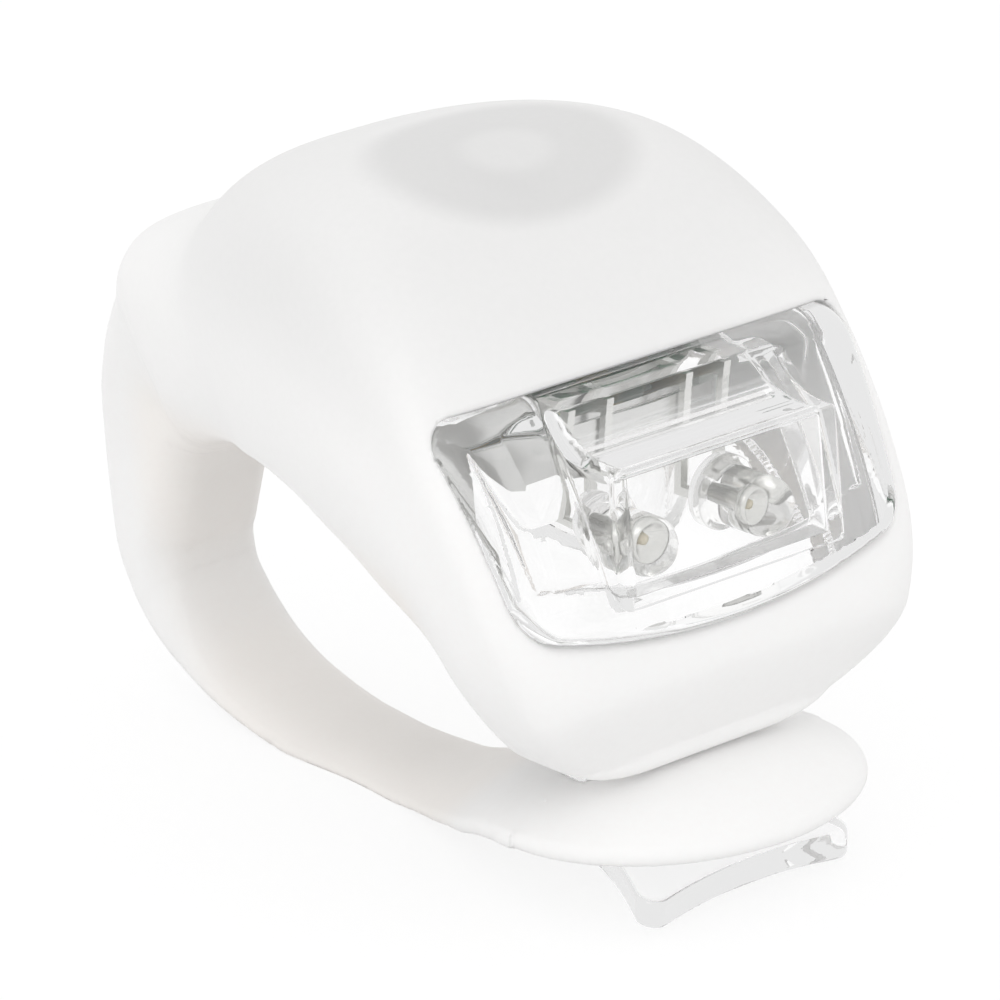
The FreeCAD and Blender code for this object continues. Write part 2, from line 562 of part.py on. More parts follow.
# Circuit board
board = new_body("circuit_board")
board_disc = new_sketch(board, "board_disc", "XY_Plane", circles=[("0", "0", "sizes.board_radius")])
solid_of(board, "board_blank", "Pad", board_disc, Length="sizes.board_thick")
lead_half = "(sizes.led_spacing {side} sizes.lead_pitch) / 2"
holes = []
for sign in ("", "-"):
    for side in ("-", "+"):
        holes.append((sign + lead_half.format(side=side), "-sizes.lead_row", "sizes.pin_hole"))
    holes.append((sign + "sizes.pillar_x", "sizes.pillar_y", "sizes.pin_hole"))
front = rectangle("-2 * sizes.board_radius", "-2 * sizes.board_radius", "2 * sizes.board_radius",
                  "-sizes.board_front")
board_cuts = new_sketch(board, "board_cuts", "XY_Plane", [front], holes)
board_trim = solid_of(board, "board_trim", "Pocket", board_cuts, Length="2 * sizes.board_thick")
board_trim.Midplane = True

# Coin cell
can = new_body("cell_can", z="sizes.cell_z")
turned(can, "can_shell", [
    ("0", "0"), ("sizes.cell_radius", "0"), ("sizes.cell_radius", "sizes.cell_height - sizes.can_wall"),
    ("sizes.crimp_radius", "sizes.cell_height - sizes.can_wall"), ("sizes.crimp_radius", "sizes.can_wall * 2"),
    ("sizes.cell_radius - sizes.can_wall", "sizes.can_wall * 2"), ("sizes.cell_radius - sizes.can_wall",
                                                                 "sizes.can_wall"), ("0", "sizes.can_wall")])
gasket = new_body("cell_gasket", z="sizes.cell_z")
turned(gasket, "gasket_ring", rectangle("sizes.cap_radius", "sizes.can_wall * 2", "sizes.crimp_radius",
                                        "sizes.cell_height - sizes.can_wall"))
core = new_body("cell_core", z="sizes.cell_z")
turned(core, "core_pellet", [
    ("0", "sizes.can_wall"), ("sizes.cell_radius - sizes.can_wall", "sizes.can_wall"),
    ("sizes.cell_radius - sizes.can_wall", "sizes.can_wall * 2"), ("sizes.cap_radius - sizes.can_wall",
                                                                 "sizes.can_wall * 2"),
    ("sizes.cap_radius - sizes.can_wall", "sizes.cell_height - sizes.can_wall"),
    ("0", "sizes.cell_height - sizes.can_wall")])
cap = new_body("cell_cap", z="sizes.cell_z")
turned(cap, "cap_shell", [
    ("0", "sizes.cell_height - sizes.can_wall"), ("sizes.cap_radius - sizes.can_wall",
                                                  "sizes.cell_height - sizes.can_wall"),
    ("sizes.cap_radius - sizes.can_wall", "sizes.can_wall * 2"), ("sizes.cap_radius", "sizes.can_wall * 2"),
    ("sizes.cap_radius", "sizes.cell_height"), ("0", "sizes.cell_height")])

# Contact springs, drawn from the side
minus = new_body("negative_contact", z="sizes.cell_top")
minus_side = new_sketch(minus, "minus_side", "YZ_Plane", [[
    ("1.0", "sizes.cell_headroom"), ("1.0", "sizes.cell_headroom - sizes.contact_thick"),
    ("-2.0", "sizes.cell_headroom - sizes.contact_thick"), ("-5.0", "0"), ("-6.5", "0.4"),
    ("-6.5", "0.4 + sizes.contact_thick"), ("-5.1", "sizes.contact_thick"), ("-2.2", "sizes.cell_headroom")]])
minus_leaf = solid_of(minus, "minus_leaf", "Pad", minus_side, Length="2 * sizes.contact_half")
minus_leaf.Midplane = True
plus = new_body("positive_contact", z="sizes.cell_z")
plus_out = "sizes.cell_radius + sizes.contact_thick"
plus_top = "sizes.cell_height + sizes.cell_headroom"
plus_side = new_sketch(plus, "plus_side", "YZ_Plane", [[
    ("sizes.cell_radius", "0.5"), (plus_out, "0.5"), (plus_out, plus_top),
    ("sizes.board_radius - 3.4", plus_top), ("sizes.board_radius - 3.4", f"{plus_top} - sizes.contact_thick"),
    ("sizes.cell_radius", f"{plus_top} - sizes.contact_thick")]])
plus_strip = solid_of(plus, "plus_strip", "Pad", plus_side, Length="sizes.contact_half")
plus_strip.Midplane = True

# Switch
switch_half = "sizes.switch_side / 2"
base = new_body("switch_base", z="sizes.switch_z")
base_square = new_sketch(base, "base_square", "XY_Plane",
                         [rectangle(f"-{switch_half}", f"-{switch_half}", switch_half, switch_half)])
solid_of(base, "base_block", "Pad", base_square, Length="sizes.switch_high - sizes.switch_plate")
base_well = new_sketch(base, "base_well", "XY_Plane", circles=[("0", "0", "sizes.well_radius")])
base_well.setExpression("AttachmentOffset.Base.z", "sizes.switch_high")
solid_of(base, "base_bore", "Pocket", base_well, Length="sizes.switch_high - sizes.switch_floor")
plate = new_body("switch_cover_plate", z="sizes.plate_z")
plate_square = new_sketch(plate, "plate_square", "XY_Plane",
                          [rectangle(f"-{switch_half}", f"-{switch_half}", switch_half, switch_half)],
                          [("0", "0", "sizes.plunger_radius + sizes.slide_gap")])
solid_of(plate, "plate_sheet", "Pad", plate_square, Length="sizes.switch_plate")
dome = new_body("switch_snap_dome", z="sizes.well_z")
snap_radius = "sizes.well_radius - sizes.slide_gap"
turned(dome, "dome_sheet_cone", [
    (snap_radius, "0"), (snap_radius, "sizes.dome_sheet"), ("sizes.dome_rise * 1.8", "sizes.dome_rise * 0.8"),
    ("sizes.dome_rise * 0.8", "sizes.dome_rise"), ("0", "sizes.dome_rise"),
    ("0", "sizes.dome_rise - sizes.dome_sheet"), ("sizes.dome_rise * 0.7", "sizes.dome_rise - sizes.dome_sheet"),
    ("sizes.dome_rise * 1.7", "sizes.dome_rise * 0.8 - sizes.dome_sheet")])
plunger = new_body("switch_plunger", z="sizes.plunger_z")
turned(plunger, "plunger_stem", [
    ("0", "0"), ("sizes.flange_radius", "0"), ("sizes.flange_radius", "sizes.flange_high"),
    ("sizes.plunger_radius", "sizes.flange_high"), ("sizes.plunger_radius", "sizes.plunger_top - sizes.plunger_z"),
    ("0", "sizes.plunger_top - sizes.plunger_z")])
legs = new_body("switch_terminals", z="sizes.switch_z")
leg_half = "sizes.terminal_width / 2"
leg_rows = []
for side in ("", "-"):
    near = f"{side}{switch_half}"
    far = f"{side}({switch_half} + sizes.terminal_reach)"
    ends = (near, far) if side == "" else (far, near)
    leg_rows.append(rectangle(ends[0], f"-sizes.terminal_row - {leg_half}", ends[1],
                              f"-sizes.terminal_row + {leg_half}"))
leg_sketch = new_sketch(legs, "leg_sketch", "XY_Plane", leg_rows)
leg_pair = solid_of(legs, "leg_pair", "Pad", leg_sketch, Length="sizes.contact_thick")
repeated(legs, "leg_row", leg_pair, "V_Axis", leg_sketch, "2 * sizes.terminal_row", 2)

# Controller chip and resistors
chip = new_body("controller_chip", y="sizes.stack_y + sizes.chip_y", z="sizes.switch_z")
chip_sketch = new_sketch(chip, "chip_outline", "XY_Plane",
                         [rectangle("-sizes.chip_length / 2", "-sizes.chip_width / 2",
                                    "sizes.chip_length / 2", "sizes.chip_width / 2")])
solid_of(chip, "chip_block", "Pad", chip_sketch, Length="sizes.chip_high")
pins = new_body("chip_pins", y="sizes.stack_y + sizes.chip_y", z="sizes.switch_z")
pin_rows = []
for side in ("", "-"):
    near = f"{side}sizes.chip_width / 2"
    far = f"{side}(sizes.chip_width / 2 + sizes.pin_reach)"
    ends = (near, far) if side == "" else (far, near)
    pin_rows.append(rectangle("-1.5 * sizes.pin_pitch - sizes.pin_width / 2", ends[0],
                              "-1.5 * sizes.pin_pitch + sizes.pin_width / 2", ends[1]))
pin_sketch = new_sketch(pins, "pin_sketch", "XY_Plane", pin_rows)
pin_pair = solid_of(pins, "pin_pair", "Pad", pin_sketch, Length="sizes.contact_thick")
repeated(pins, "pin_row", pin_pair, "H_Axis", pin_sketch, "3 * sizes.pin_pitch", 4)
resistors = new_body("resistors", z="sizes.switch_z")
resistor_sketch = new_sketch(resistors, "resistor_sketch", "XY_Plane", [
    rectangle("-sizes.resistor_x - sizes.resistor_width / 2", "-sizes.resistor_y - sizes.resistor_length / 2",
              "-sizes.resistor_x + sizes.resistor_width / 2", "-sizes.resistor_y + sizes.resistor_length / 2")])
resistor_block = solid_of(resistors, "resistor_block", "Pad", resistor_sketch, Length="sizes.resistor_high")
repeated(resistors, "resistor_row", resistor_block, "H_Axis", resistor_sketch, "2 * sizes.resistor_x", 2)


# Lamps and their leads
def make_lamp(label, sign):
    """A round lamp lying along Y: flange, barrel and domed tip."""
    flange = doc.addObject("Part::Cylinder", label + "_flange")
    flange.setExpression("Radius", "sizes.led_flange")
    flange.Height = 0.9
    barrel = doc.addObject("Part::Cylinder", label + "_barrel")
    barrel.setExpression("Radius", "sizes.led_radius")
    barrel.setExpression("Height", "sizes.led_length - sizes.led_radius")
    tip = doc.addObject("Part::Sphere", label + "_tip")
    tip.setExpression("Radius", "sizes.led_radius")
    tip.setExpression("Placement.Base.z", "sizes.led_length - sizes.led_radius")
    lamp = doc.addObject("Part::MultiFuse", label)
    lamp.Shapes = [flange, barrel, tip]
    lamp.Label = label
    lamp.Placement.Rotation = FreeCAD.Rotation(V(1, 0, 0), 90)
    lamp.setExpression("Placement.Base.x", f"{sign}sizes.led_spacing / 2")
    lamp.setExpression("Placement.Base.y", "sizes.led_tip_y + sizes.led_length")
    lamp.setExpression("Placement.Base.z", "sizes.led_z")
    return lamp


def make_leads(label, sign):
    """Two square leads: out of the lamp's foot, up before the cell, back and up through the board."""
    leads = new_body(label, y="sizes.led_tip_y + sizes.led_length", z="sizes.led_z",
                     x=f"{sign}sizes.led_spacing / 2 - sizes.lead_pitch / 2")
    w = "sizes.lead_width"
    rise = "(sizes.board_z - sizes.led_z - sizes.lead_drop)"
    run = "(sizes.stack_y - sizes.lead_row - sizes.led_tip_y - sizes.led_length)"
    top = "(sizes.switch_z - sizes.led_z + sizes.joint_rise)"
    side = new_sketch(leads, label + "_side", "YZ_Plane", [[
        ("0", f"-{w} / 2"), (f"sizes.lead_step + {w}", f"-{w} / 2"), (f"sizes.lead_step + {w}", f"{rise} - {w}"),
        (f"{run} + {w} / 2", f"{rise} - {w}"), (f"{run} + {w} / 2", top), (f"{run} - {w} / 2", top),
        (f"{run} - {w} / 2", rise), ("sizes.lead_step", rise), ("sizes.lead_step", f"{w} / 2"),
        ("0", f"{w} / 2")]])
    lead = solid_of(leads, label + "_wire", "Pad", side, Length=w)
    lead.Midplane = True
    repeated(leads, label + "_pair", lead, "N_Axis", side, "sizes.lead_pitch", 2)
    return leads


lamps = [make_lamp("led_left", "-"), make_lamp("led_right", "")]
leads = [make_leads("led_leads_left", "-"), make_leads("led_leads_right", "")]

doc.recompute()

# Check and export
subparts = [sleeve, strap, pad, housing, cover, board, *lamps, *leads, base, plate, legs, dome, plunger,
            chip, pins, resistors, can, core, gasket, cap, plus, minus]
for part in doc.Objects:
    if "Invalid" in part.State or "Error" in part.State:
        raise RuntimeError(f"{part.Label} failed: {part.State}")
os.makedirs("parts", exist_ok=True)
for part in subparts:
    if part.Shape.isNull() or not part.Shape.isValid():
        raise RuntimeError(f"{part.Label} has no valid shape")
    part.Shape.exportStep(f"parts/{part.Label}.step")
    box = part.Shape.BoundBox
    print(f"{part.Label}: solids {len(part.Shape.Solids)} volume {part.Shape.Volume:.1f} "
          f"x {box.XMin:.2f} {box.XMax:.2f} y {box.YMin:.2f} {box.YMax:.2f} z {box.ZMin:.2f} {box.ZMax:.2f}")
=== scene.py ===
import json
import math

import bpy
import numpy as np
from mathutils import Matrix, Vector


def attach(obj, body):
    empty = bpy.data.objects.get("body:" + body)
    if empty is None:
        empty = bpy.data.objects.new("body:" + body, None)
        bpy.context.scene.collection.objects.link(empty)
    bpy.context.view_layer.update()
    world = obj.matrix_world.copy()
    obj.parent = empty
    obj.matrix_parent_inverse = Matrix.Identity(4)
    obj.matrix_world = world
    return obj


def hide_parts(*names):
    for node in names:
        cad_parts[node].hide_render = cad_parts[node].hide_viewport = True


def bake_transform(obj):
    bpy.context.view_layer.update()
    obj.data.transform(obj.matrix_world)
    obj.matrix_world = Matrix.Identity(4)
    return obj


# Silicone bike light. Every shape is worked out in millimetres, in the CAD model's own frame:
# X along the handlebar, the lens faces -Y, the button is on top, the light rests on z = 0.

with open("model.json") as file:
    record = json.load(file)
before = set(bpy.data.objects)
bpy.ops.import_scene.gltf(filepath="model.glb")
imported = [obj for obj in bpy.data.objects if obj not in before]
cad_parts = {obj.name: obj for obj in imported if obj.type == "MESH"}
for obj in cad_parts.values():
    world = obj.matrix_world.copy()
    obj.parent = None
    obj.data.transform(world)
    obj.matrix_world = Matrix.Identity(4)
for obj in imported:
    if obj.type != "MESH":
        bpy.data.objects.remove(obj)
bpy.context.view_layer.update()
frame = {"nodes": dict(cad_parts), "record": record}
MM = 0.001

# The body as seen from the side, in polar stations about the handlebar axis
BAR_Y = 1.3
BAR_Z = 0.55
SADDLE = 18.0
# angle towards the lens, roof, shoulder, half width, squareness, tuck of the foot, foot over the saddle
BODY_STATIONS = np.array([
    (-38, 11.6, 5.4, 5.8, 3.0, 0.5, 1.8),
    (-24, 12.1, 5.6, 8.2, 2.8, 0.8, 0.3),
    (-10, 14.6, 6.6, 11.1, 3.0, 1.3, 0.0),
    (6, 15.9, 6.8, 13.3, 3.6, 1.7, 0.0),
    (20, 13.7, 6.3, 14.4, 5.0, 1.9, 0.0),
    (31, 10.4, 5.4, 14.6, 8.0, 2.0, 0.0),
    (48, 7.5, 4.0, 14.2, 8.0, 2.7, 0.0),
    (61, 6.2, 2.8, 12.7, 6.0, 2.6, 0.0),
    (69, 2.9, 1.3, 10.6, 3.4, 0.9, 0.0),
])
BODY_BACK = -38
CHIN_Z = 6.85
CHIN_FLAT = 4.0
CHIN_ROUND = 11.0
CHIN_END = 74.0
CHIN_FRONT = -18.1
CHIN_RAKE = 0.45
SKIRT_GAP = 0.15
CAPSULE_FRONT = 60.0
CAPSULE_BACK = -22.0
CAPSULE_GAP = 0.4
HOLLOW_FRONT = 2.6
HOLLOW_BACK = 2.4
SKIN = 1.5
FIT = 0.1
SHELL = 0.9
STACK_Y = -2.6
POCKET_DROP = 2
NUB_RADIUS = 2.6
NUB_Z = 30.25
BORE_RADIUS = 7.2
BORE_Z = 26

# Window and lens, as seen from the front
WINDOW_TOP = 25.55
WINDOW_SIDE = 15.85
WINDOW_LOW = 14.15
WINDOW_TOP_HALF = 13.7
WINDOW_LOW_HALF = 12.5
WINDOW_CORNER = 1.6
WINDOW_BACK = -10.5
LENS_PROUD = 0.6
LENS_WALL = 1.1
LENS_RIM = 1.9
FACET_Z = 20.3
FACET_SLOPE = 0.3

# Raised lamp block
BLOCK_HALF = 7.4
BLOCK_TOP = (-14.6, 25.25)
BLOCK_BROW = (-19.0, 23.25)
BLOCK_CHIN = (-19.8, 16.45)
BLOCK_WALL = 0.8

# Lamps
LAMP_X = 3.9
LAMP_Z = 18.4
LAMP_TIP = -18.6
LAMP_LENGTH = 4.9
LAMP_RADIUS = 1.5
LAMP_FLANGE = 1.9
CUP_Y = -16.9

# Strap, tongue, hook
LOOP_Y = 4.0
LOOP_Z = 13.25
LOOP_BACK = 19.5
LOOP_TOP = 14.4
LOOP_POWER = 2.8
LOOP_TOP_POWER = 2.55
# angle round the loop from the back, thickness, lean of the section below level
LOOP_STATIONS = np.array([
    (42, 9.6, 52), (30, 9.7, 46), (20, 9.1, 41), (10, 8.0, 35), (0, 6.7, 27), (-13, 5.2, 15),
    (-27, 4.0, 0), (-42, 3.1, -22), (-56, 2.3, -45), (-70, 1.8, -72), (-83, 1.6, -87)])
STRAP_HALF = 3.7
ROOT_WIDER = 1.2
STRAP_LOW = 1.5
STRAP_CROWN = 1.1
# how far forward, half width of the flat run
TONGUE_STATIONS = np.array([
    (4.0, 3.5), (0.5, 3.8), (-2.5, 4.6), (-5.5, 6.3), (-9.0, 8.7), (-12.0, 10.1), (-15.0, 10.8),
    (-24.5, 10.9)])
STRAP_ASIDE = -0.9
ASIDE_FRONT = -13
ASIDE_BACK = 17
TONGUE_ASIDE = 0.4
TONGUE_ASIDE_Y = -10
CROWN_FROM = 20
CROWN_OVER = 70
STRAP_EDGE = 2.2
EDGE_LESS = 1.15
BEND_Z = 16.0
ROOT_FILLET = 4.5
TONGUE_Y = -23.3
TONGUE_RISE = 3.7
TONGUE_HALF = 10.6
TONGUE_WIDEST = -14.8
TONGUE_POWER = 2.0
TONGUE_THICK = 3.05
TONGUE_CROWN = 2.3
CROWN_POWER = 3.0
SLOT_Y = -14.5
STEM_THICK = 1.5
STEM_HALF = 5.8
SLOT_GAP = 0.15
HOOK_HALF = 7.0
HOOK_TIP = -21.2
COVER_OUTER = 18.3
COVER_INNER = 19.5
SEAT_OUTER = 9.3
SEAT_INNER = 8.3
SEAT_TOP = 20.25
STEM_TOP = 10.84

# Grid steps of the surfaces
MOULDING_STEP = 0.25
CLEAR_STEP = 0.2

# Clear plastic: reflections and faces after which a path ends on a painted glow, and how bright that glow is
MOST_TURNS = 3
MOST_FACES = 10
LOST_PATH_GLOW = 0.8
SHADOW_PASSES = (0.93, 0.93, 0.93, 1)

# Silicone: its colour, the painted shade over the roof, the painted shade round the well under the button
# # (less over the button's post), and the painted warm shade inside the loop
SILICONE_COLOUR = (0.985, 0.98, 0.975)
LOOP_SHADE_COLOUR = (0.985, 0.955, 0.925)
SILICONE_ROUGHNESS = 0.48
SILICONE_IOR = 1.41
SILICONE_CLEAR = 0.12
SILICONE_PASSES = 0.55
SILICONE_GRAIN = 2600.0
GRAIN_CHANGE = 0.03
ROOF_PAINTED_SHADE = 0.13
ROOF_FROM = 22.0
ROOF_FULL = 32.0
WELL_Y = -3.5
WELL_Z = 34.0
WELL_SHORTER = 1.3
WELL_FALL = 2.2
WELL_OUTER = 8.8
WELL_INNER = 6.2
WELL_PAINTED_SHADE = 0.115
WELL_FROM_Z = 20.0
WELL_FULL_Z = 24.0
POST_OUTER = 3.4
POST_INNER = 1.6
POST_LESS_SHADE = 0.05
INSIDE_OUTER = 17.5
INSIDE_INNER = 14.5
INSIDE_TOP = 19.0
INSIDE_FULL = 15.5

# Stage and studio light
FLOOR_REACH = 600
FLOOR_Z = -0.02
FLOOR_GLOW = 1.06
FLOOR_SHARE = 0.8
SOFT_LEFT = 1.13
SOFT_RIGHT = 0.9


# Shape tools
def smooth_table(places, values, at):
    """Cubic through the given values, each slope the harmonic mean of its two chords, read at any place."""
    step = np.diff(places)
    chord = np.diff(values) / step
    product = chord[:-1] * chord[1:]
    total = chord[:-1] + chord[1:]
    middle = np.where(product > 0, 2 * product / np.where(total == 0, 1, total), 0)
    slope = np.concatenate([[chord[0]], middle, [chord[-1]]])
    i = np.clip(np.searchsorted(places, at, side="right") - 1, 0, len(places) - 2)
    t = np.clip((at - places[i]) / step[i], 0, 1)
    return ((1 + 2 * t) * (1 - t) ** 2 * values[i] + t * (1 - t) ** 2 * step[i] * slope[i]
            + t * t * (3 - 2 * t) * values[i + 1] + t * t * (t - 1) * step[i] * slope[i + 1])


FINE_ANGLES = np.linspace(BODY_STATIONS[0, 0], BODY_STATIONS[-1, 0], 1200)
BODY_TABLE = [smooth_table(BODY_STATIONS[:, 0], BODY_STATIONS[:, k], FINE_ANGLES) for k in range(1, 7)]


def both(a, b, radius):
    """Where two solids meet: the larger of their distances, with the edge rounded to a radius."""
    a = a + radius
    b = b + radius
    return np.hypot(np.maximum(a, 0), np.maximum(b, 0)) + np.minimum(np.maximum(a, b), 0) - radius


def joined(a, b, fillet):
    """Two solids together: the smaller of their distances, with a soft fillet in the corner."""
    h = np.clip(0.5 + 0.5 * (b - a) / fillet, 0, 1)
    return b + (a - b) * h - fillet * h * (1 - h)


def polar(y, z):
    """Angle towards the lens in degrees and distance, about the handlebar axis."""
    return np.degrees(np.arctan2(BAR_Y - y, z - BAR_Z)), np.hypot(y - BAR_Y, z - BAR_Z)


def body_distance(x, y, z):
    """Distance to the roof and flanks: a superellipse over the shoulder, a tucked flank below it."""
    angle, radius = polar(y, z)
    roof, shoulder, half, power, tuck, foot = [np.interp(angle, FINE_ANGLES, column) for column in BODY_TABLE]
    rise = np.clip((radius - SADDLE - foot) / (shoulder - foot), 0, 1)
    wide = half - tuck * (1 - rise) ** 2
    side = np.abs(x) / wide
    up = np.maximum(radius - SADDLE - shoulder, 0) / (roof - shoulder)
    level = np.maximum((side ** power + up ** power) ** (1 / power), 0.2)
    across = (side / level) ** (power - 1) / wide
    along = (up / level) ** (power - 1) / (roof - shoulder)
    return (level - 1) / np.maximum(np.hypot(across, along), 0.03)


def foot_distance(y, z, drop):
    """How far a point is below the body's foot, which may be carried on downwards by a drop."""
    angle, radius = polar(y, z)
    return SADDLE + np.interp(angle, FINE_ANGLES, BODY_TABLE[5]) - drop - radius


def chin_distance(x, z, margin):
    """How far a point is below the chin line, whose two lower corners are quarter circles."""
    low = CHIN_Z + margin + CHIN_ROUND - z
    wide = np.abs(x) - CHIN_FLAT + margin / 2 - 0.8 * np.maximum(-low, 0)
    outside = np.hypot(np.maximum(wide, 0), np.maximum(low, 0))
    return outside + np.minimum(np.maximum(wide, low), 0) - CHIN_ROUND


def fan_distance(y, z, front, back):
    """Distance outside the wedge between two angles about the handlebar axis."""
    angle, radius = polar(y, z)
    return np.maximum(radius * np.sin(np.radians(np.clip(angle - front, -90, 90))),
                      radius * np.sin(np.radians(np.clip(back - angle, -90, 90))))


def window_distance(x, z, margin):
    """Distance outside the window's outline: flat top, slanting sides, sagging lower edge, round corners."""
    slope = (WINDOW_TOP_HALF - WINDOW_LOW_HALF) / (WINDOW_TOP - WINDOW_SIDE)
    side = (np.abs(x) - WINDOW_LOW_HALF - slope * (z - WINDOW_SIDE)) / math.hypot(1, slope)
    sag = WINDOW_SIDE - WINDOW_LOW
    bow = (WINDOW_LOW_HALF ** 2 + sag ** 2) / (2 * sag)
    low = np.hypot(x, z - WINDOW_LOW - bow) - bow
    corner = WINDOW_CORNER
    return both(both(side, z - WINDOW_TOP, corner), low, corner) + margin


def box_distance(x, y, z, low, high, radius=0.0):
    """Distance to a box with rounded edges."""
    q = [np.abs(v - (a + b) / 2) - (b - a) / 2 + radius for v, a, b in zip((x, y, z), low, high)]
    outside = np.sqrt(sum(np.maximum(v, 0) ** 2 for v in q))
    return outside + np.minimum(np.maximum(np.maximum(q[0], q[1]), q[2]), 0) - radius


def outline_distance(u, v, corners):
    """Signed distance to a closed polygon in a plane: nearest edge, negative inside by the crossing rule."""
    best = np.full(np.broadcast(u, v).shape, 1e9)
    inside = np.zeros(best.shape, bool)
    for (ax, ay), (bx, by) in zip(corners, corners[1:] + corners[:1]):
        ex, ey = bx - ax, by - ay
        t = np.clip(((u - ax) * ex + (v - ay) * ey) / (ex * ex + ey * ey), 0, 1)
        best = np.minimum(best, (u - ax - t * ex) ** 2 + (v - ay - t * ey) ** 2)
        crosses = (ay > v) != (by > v)
        inside ^= crosses & (u < ax + ex * (v - ay) / (ey if ey else 1e-9))
    return np.sqrt(best) * np.where(inside, -1, 1)


def strap_line():
    """Mid-line of the strap from its root to the tongue: y, z, thickness, half width, edge radius and how
    much thinner its rims are."""
    angle, thick, lean = LOOP_STATIONS.T
    c = np.cos(np.radians(angle))
    s = np.sin(np.radians(angle))
    up = np.where(s > 0, LOOP_TOP, LOOP_Z)
    power = np.where(s > 0, LOOP_TOP_POWER, LOOP_POWER)
    loop_y = LOOP_Y + LOOP_BACK * np.abs(c) ** (2 / power)
    loop_z = LOOP_Z + up * np.sign(s) * np.abs(s) ** (2 / power)
    root = np.maximum(0, angle / angle[0])
    flat_y, flat_half = TONGUE_STATIONS.T
    u = np.clip((LOOP_Y - 3 - flat_y) / (LOOP_Y - 3 - SLOT_Y), 0, 1)
    grow = np.clip((flat_half - STRAP_HALF) / (TONGUE_HALF - STRAP_HALF), 0, 1)
    climb = np.degrees(np.arctan(6 * u * (1 - u) * TONGUE_RISE / (LOOP_Y - 3 - SLOT_Y)))
    y = np.concatenate([loop_y, flat_y])
    z = np.concatenate([loop_z, TONGUE_RISE * u * u * (3 - 2 * u)])
    thick = np.concatenate([thick, STRAP_LOW + (TONGUE_THICK - STRAP_LOW) * grow])
    lean = np.radians(np.concatenate([lean, climb - 90]))
    half = np.concatenate([STRAP_HALF + ROOT_WIDER * root, flat_half])
    edge = np.minimum(STRAP_EDGE - EDGE_LESS * np.arange(len(y)) / (len(y) - 1), 0.48 * thick)
    crown = np.concatenate([STRAP_CROWN * np.clip((CROWN_FROM - angle) / CROWN_OVER, 0, 1),
                            STRAP_CROWN + (TONGUE_CROWN - STRAP_CROWN) * grow])
    edge = np.minimum(edge, 0.49 * (thick - crown))
    columns = [y - np.cos(lean) * thick / 2, z - np.sin(lean) * thick / 2, thick, half, edge, crown]
    place = np.arange(len(y), dtype=float)
    fine = np.linspace(0, len(y) - 1, 500)
    return np.array([smooth_table(place, column, fine) for column in columns])


STRAP_LINE = strap_line()
STRAP_CHANGE = np.gradient(STRAP_LINE, axis=1)


def tongue_end(x, y):
    """Distance to the tongue's rounded end, a superellipse ahead of its widest place, and its level there."""
    length = TONGUE_WIDEST - TONGUE_Y
    side = np.abs(x) / TONGUE_HALF
    ahead = np.maximum(TONGUE_WIDEST - y, 0) / length
    power = TONGUE_POWER
    level = np.maximum((side ** power + ahead ** power) ** (1 / power), 0.2)
    across = (side / level) ** (power - 1) / TONGUE_HALF
    along = (ahead / level) ** (power - 1) / length
    front = y < TONGUE_WIDEST
    distance = (level - 1) / np.maximum(np.hypot(across, along), 0.03)
    return np.where(front, distance, -9.0), np.where(front, level, 0)


def strap_distance(x, y, z):
    """Distance to the strap: a rounded bar whose thickness and width follow the nearest mid-line point, whose
    inner face falls away towards its rims, and whose low run lies a little to one side."""
    x = x - STRAP_ASIDE * np.clip((y - ASIDE_FRONT) / 8, 0, 1) * np.clip((ASIDE_BACK - y) / 9, 0, 1)
    x = x - TONGUE_ASIDE * np.clip((TONGUE_ASIDE_Y - y) / 5, 0, 1)
    shape = np.broadcast(y, z).shape
    flat = np.stack([np.broadcast_to(y, shape).ravel(), np.broadcast_to(z, shape).ravel()])
    nearest = np.empty(flat.shape[1], int)
    for start in range(0, len(nearest), 20000):
        part = slice(start, start + 20000)
        square = ((flat[0, part, None] - STRAP_LINE[0]) ** 2 + (flat[1, part, None] - STRAP_LINE[1]) ** 2)
        nearest[part] = square.argmin(axis=1)
    here = STRAP_LINE[:, nearest]
    change = STRAP_CHANGE[:, nearest]
    past = ((flat - here[:2]) * change[:2]).sum(axis=0) / (change[:2] ** 2).sum(axis=0)
    here = here + change * np.clip(past, -0.6, 0.6)
    off = flat - here[:2]
    outwards = np.sign(change[0] * off[1] - change[1] * off[0])
    height = (outwards * np.hypot(*off)).reshape(shape)
    thick, half, edge, crown = here[2:].reshape(4, *shape)
    tip, level = tongue_end(x, y)
    rim = np.maximum(np.abs(x) / half, level)
    less = crown * np.minimum(rim, 1) ** CROWN_POWER
    across = np.maximum(np.abs(x) - half, tip) + edge
    through = np.abs(height - less / 2) - (thick - less) / 2 + edge
    return (np.hypot(np.maximum(across, 0), np.maximum(through, 0))
            + np.minimum(np.maximum(across, through), 0) - edge)


def body_outer(x, y, z):
    """The sleeve's outside: where roof and flanks, saddle, chin line, raked chin and two ends meet."""
    outer = both(body_distance(x, y, z), foot_distance(y, z, 0), 0.5)
    outer = both(outer, chin_distance(x, z, 0), 0.7)
    outer = both(outer, CHIN_FRONT - CHIN_RAKE * (z - CHIN_Z) - y, 0.8)
    return both(outer, fan_distance(y, z, CHIN_END, BODY_BACK), 0.8)


def slot_box(x, y, z, low, high, ahead, radius):
    """Distance to the slot that the hook's stem goes through, run on ahead of the stem."""
    half = STEM_HALF + SLOT_GAP
    front = SLOT_Y - STEM_THICK / 2 - SLOT_GAP
    back = SLOT_Y + STEM_THICK / 2 + SLOT_GAP + ahead
    return box_distance(x, y, z, (-half, front, low), (half, back, high), radius)


def strap_moulding(x, y, z):
    """The strap and tongue with its slot, filleted into the back of the body."""
    strap = both(strap_distance(x, y, z), -slot_box(x, y, z, -3, 7.5, 0, 0.4), 0.25)
    back = np.where(y > BAR_Y + 3, body_outer(x, y, z), 9.0)
    return joined(back, strap, ROOT_FILLET)


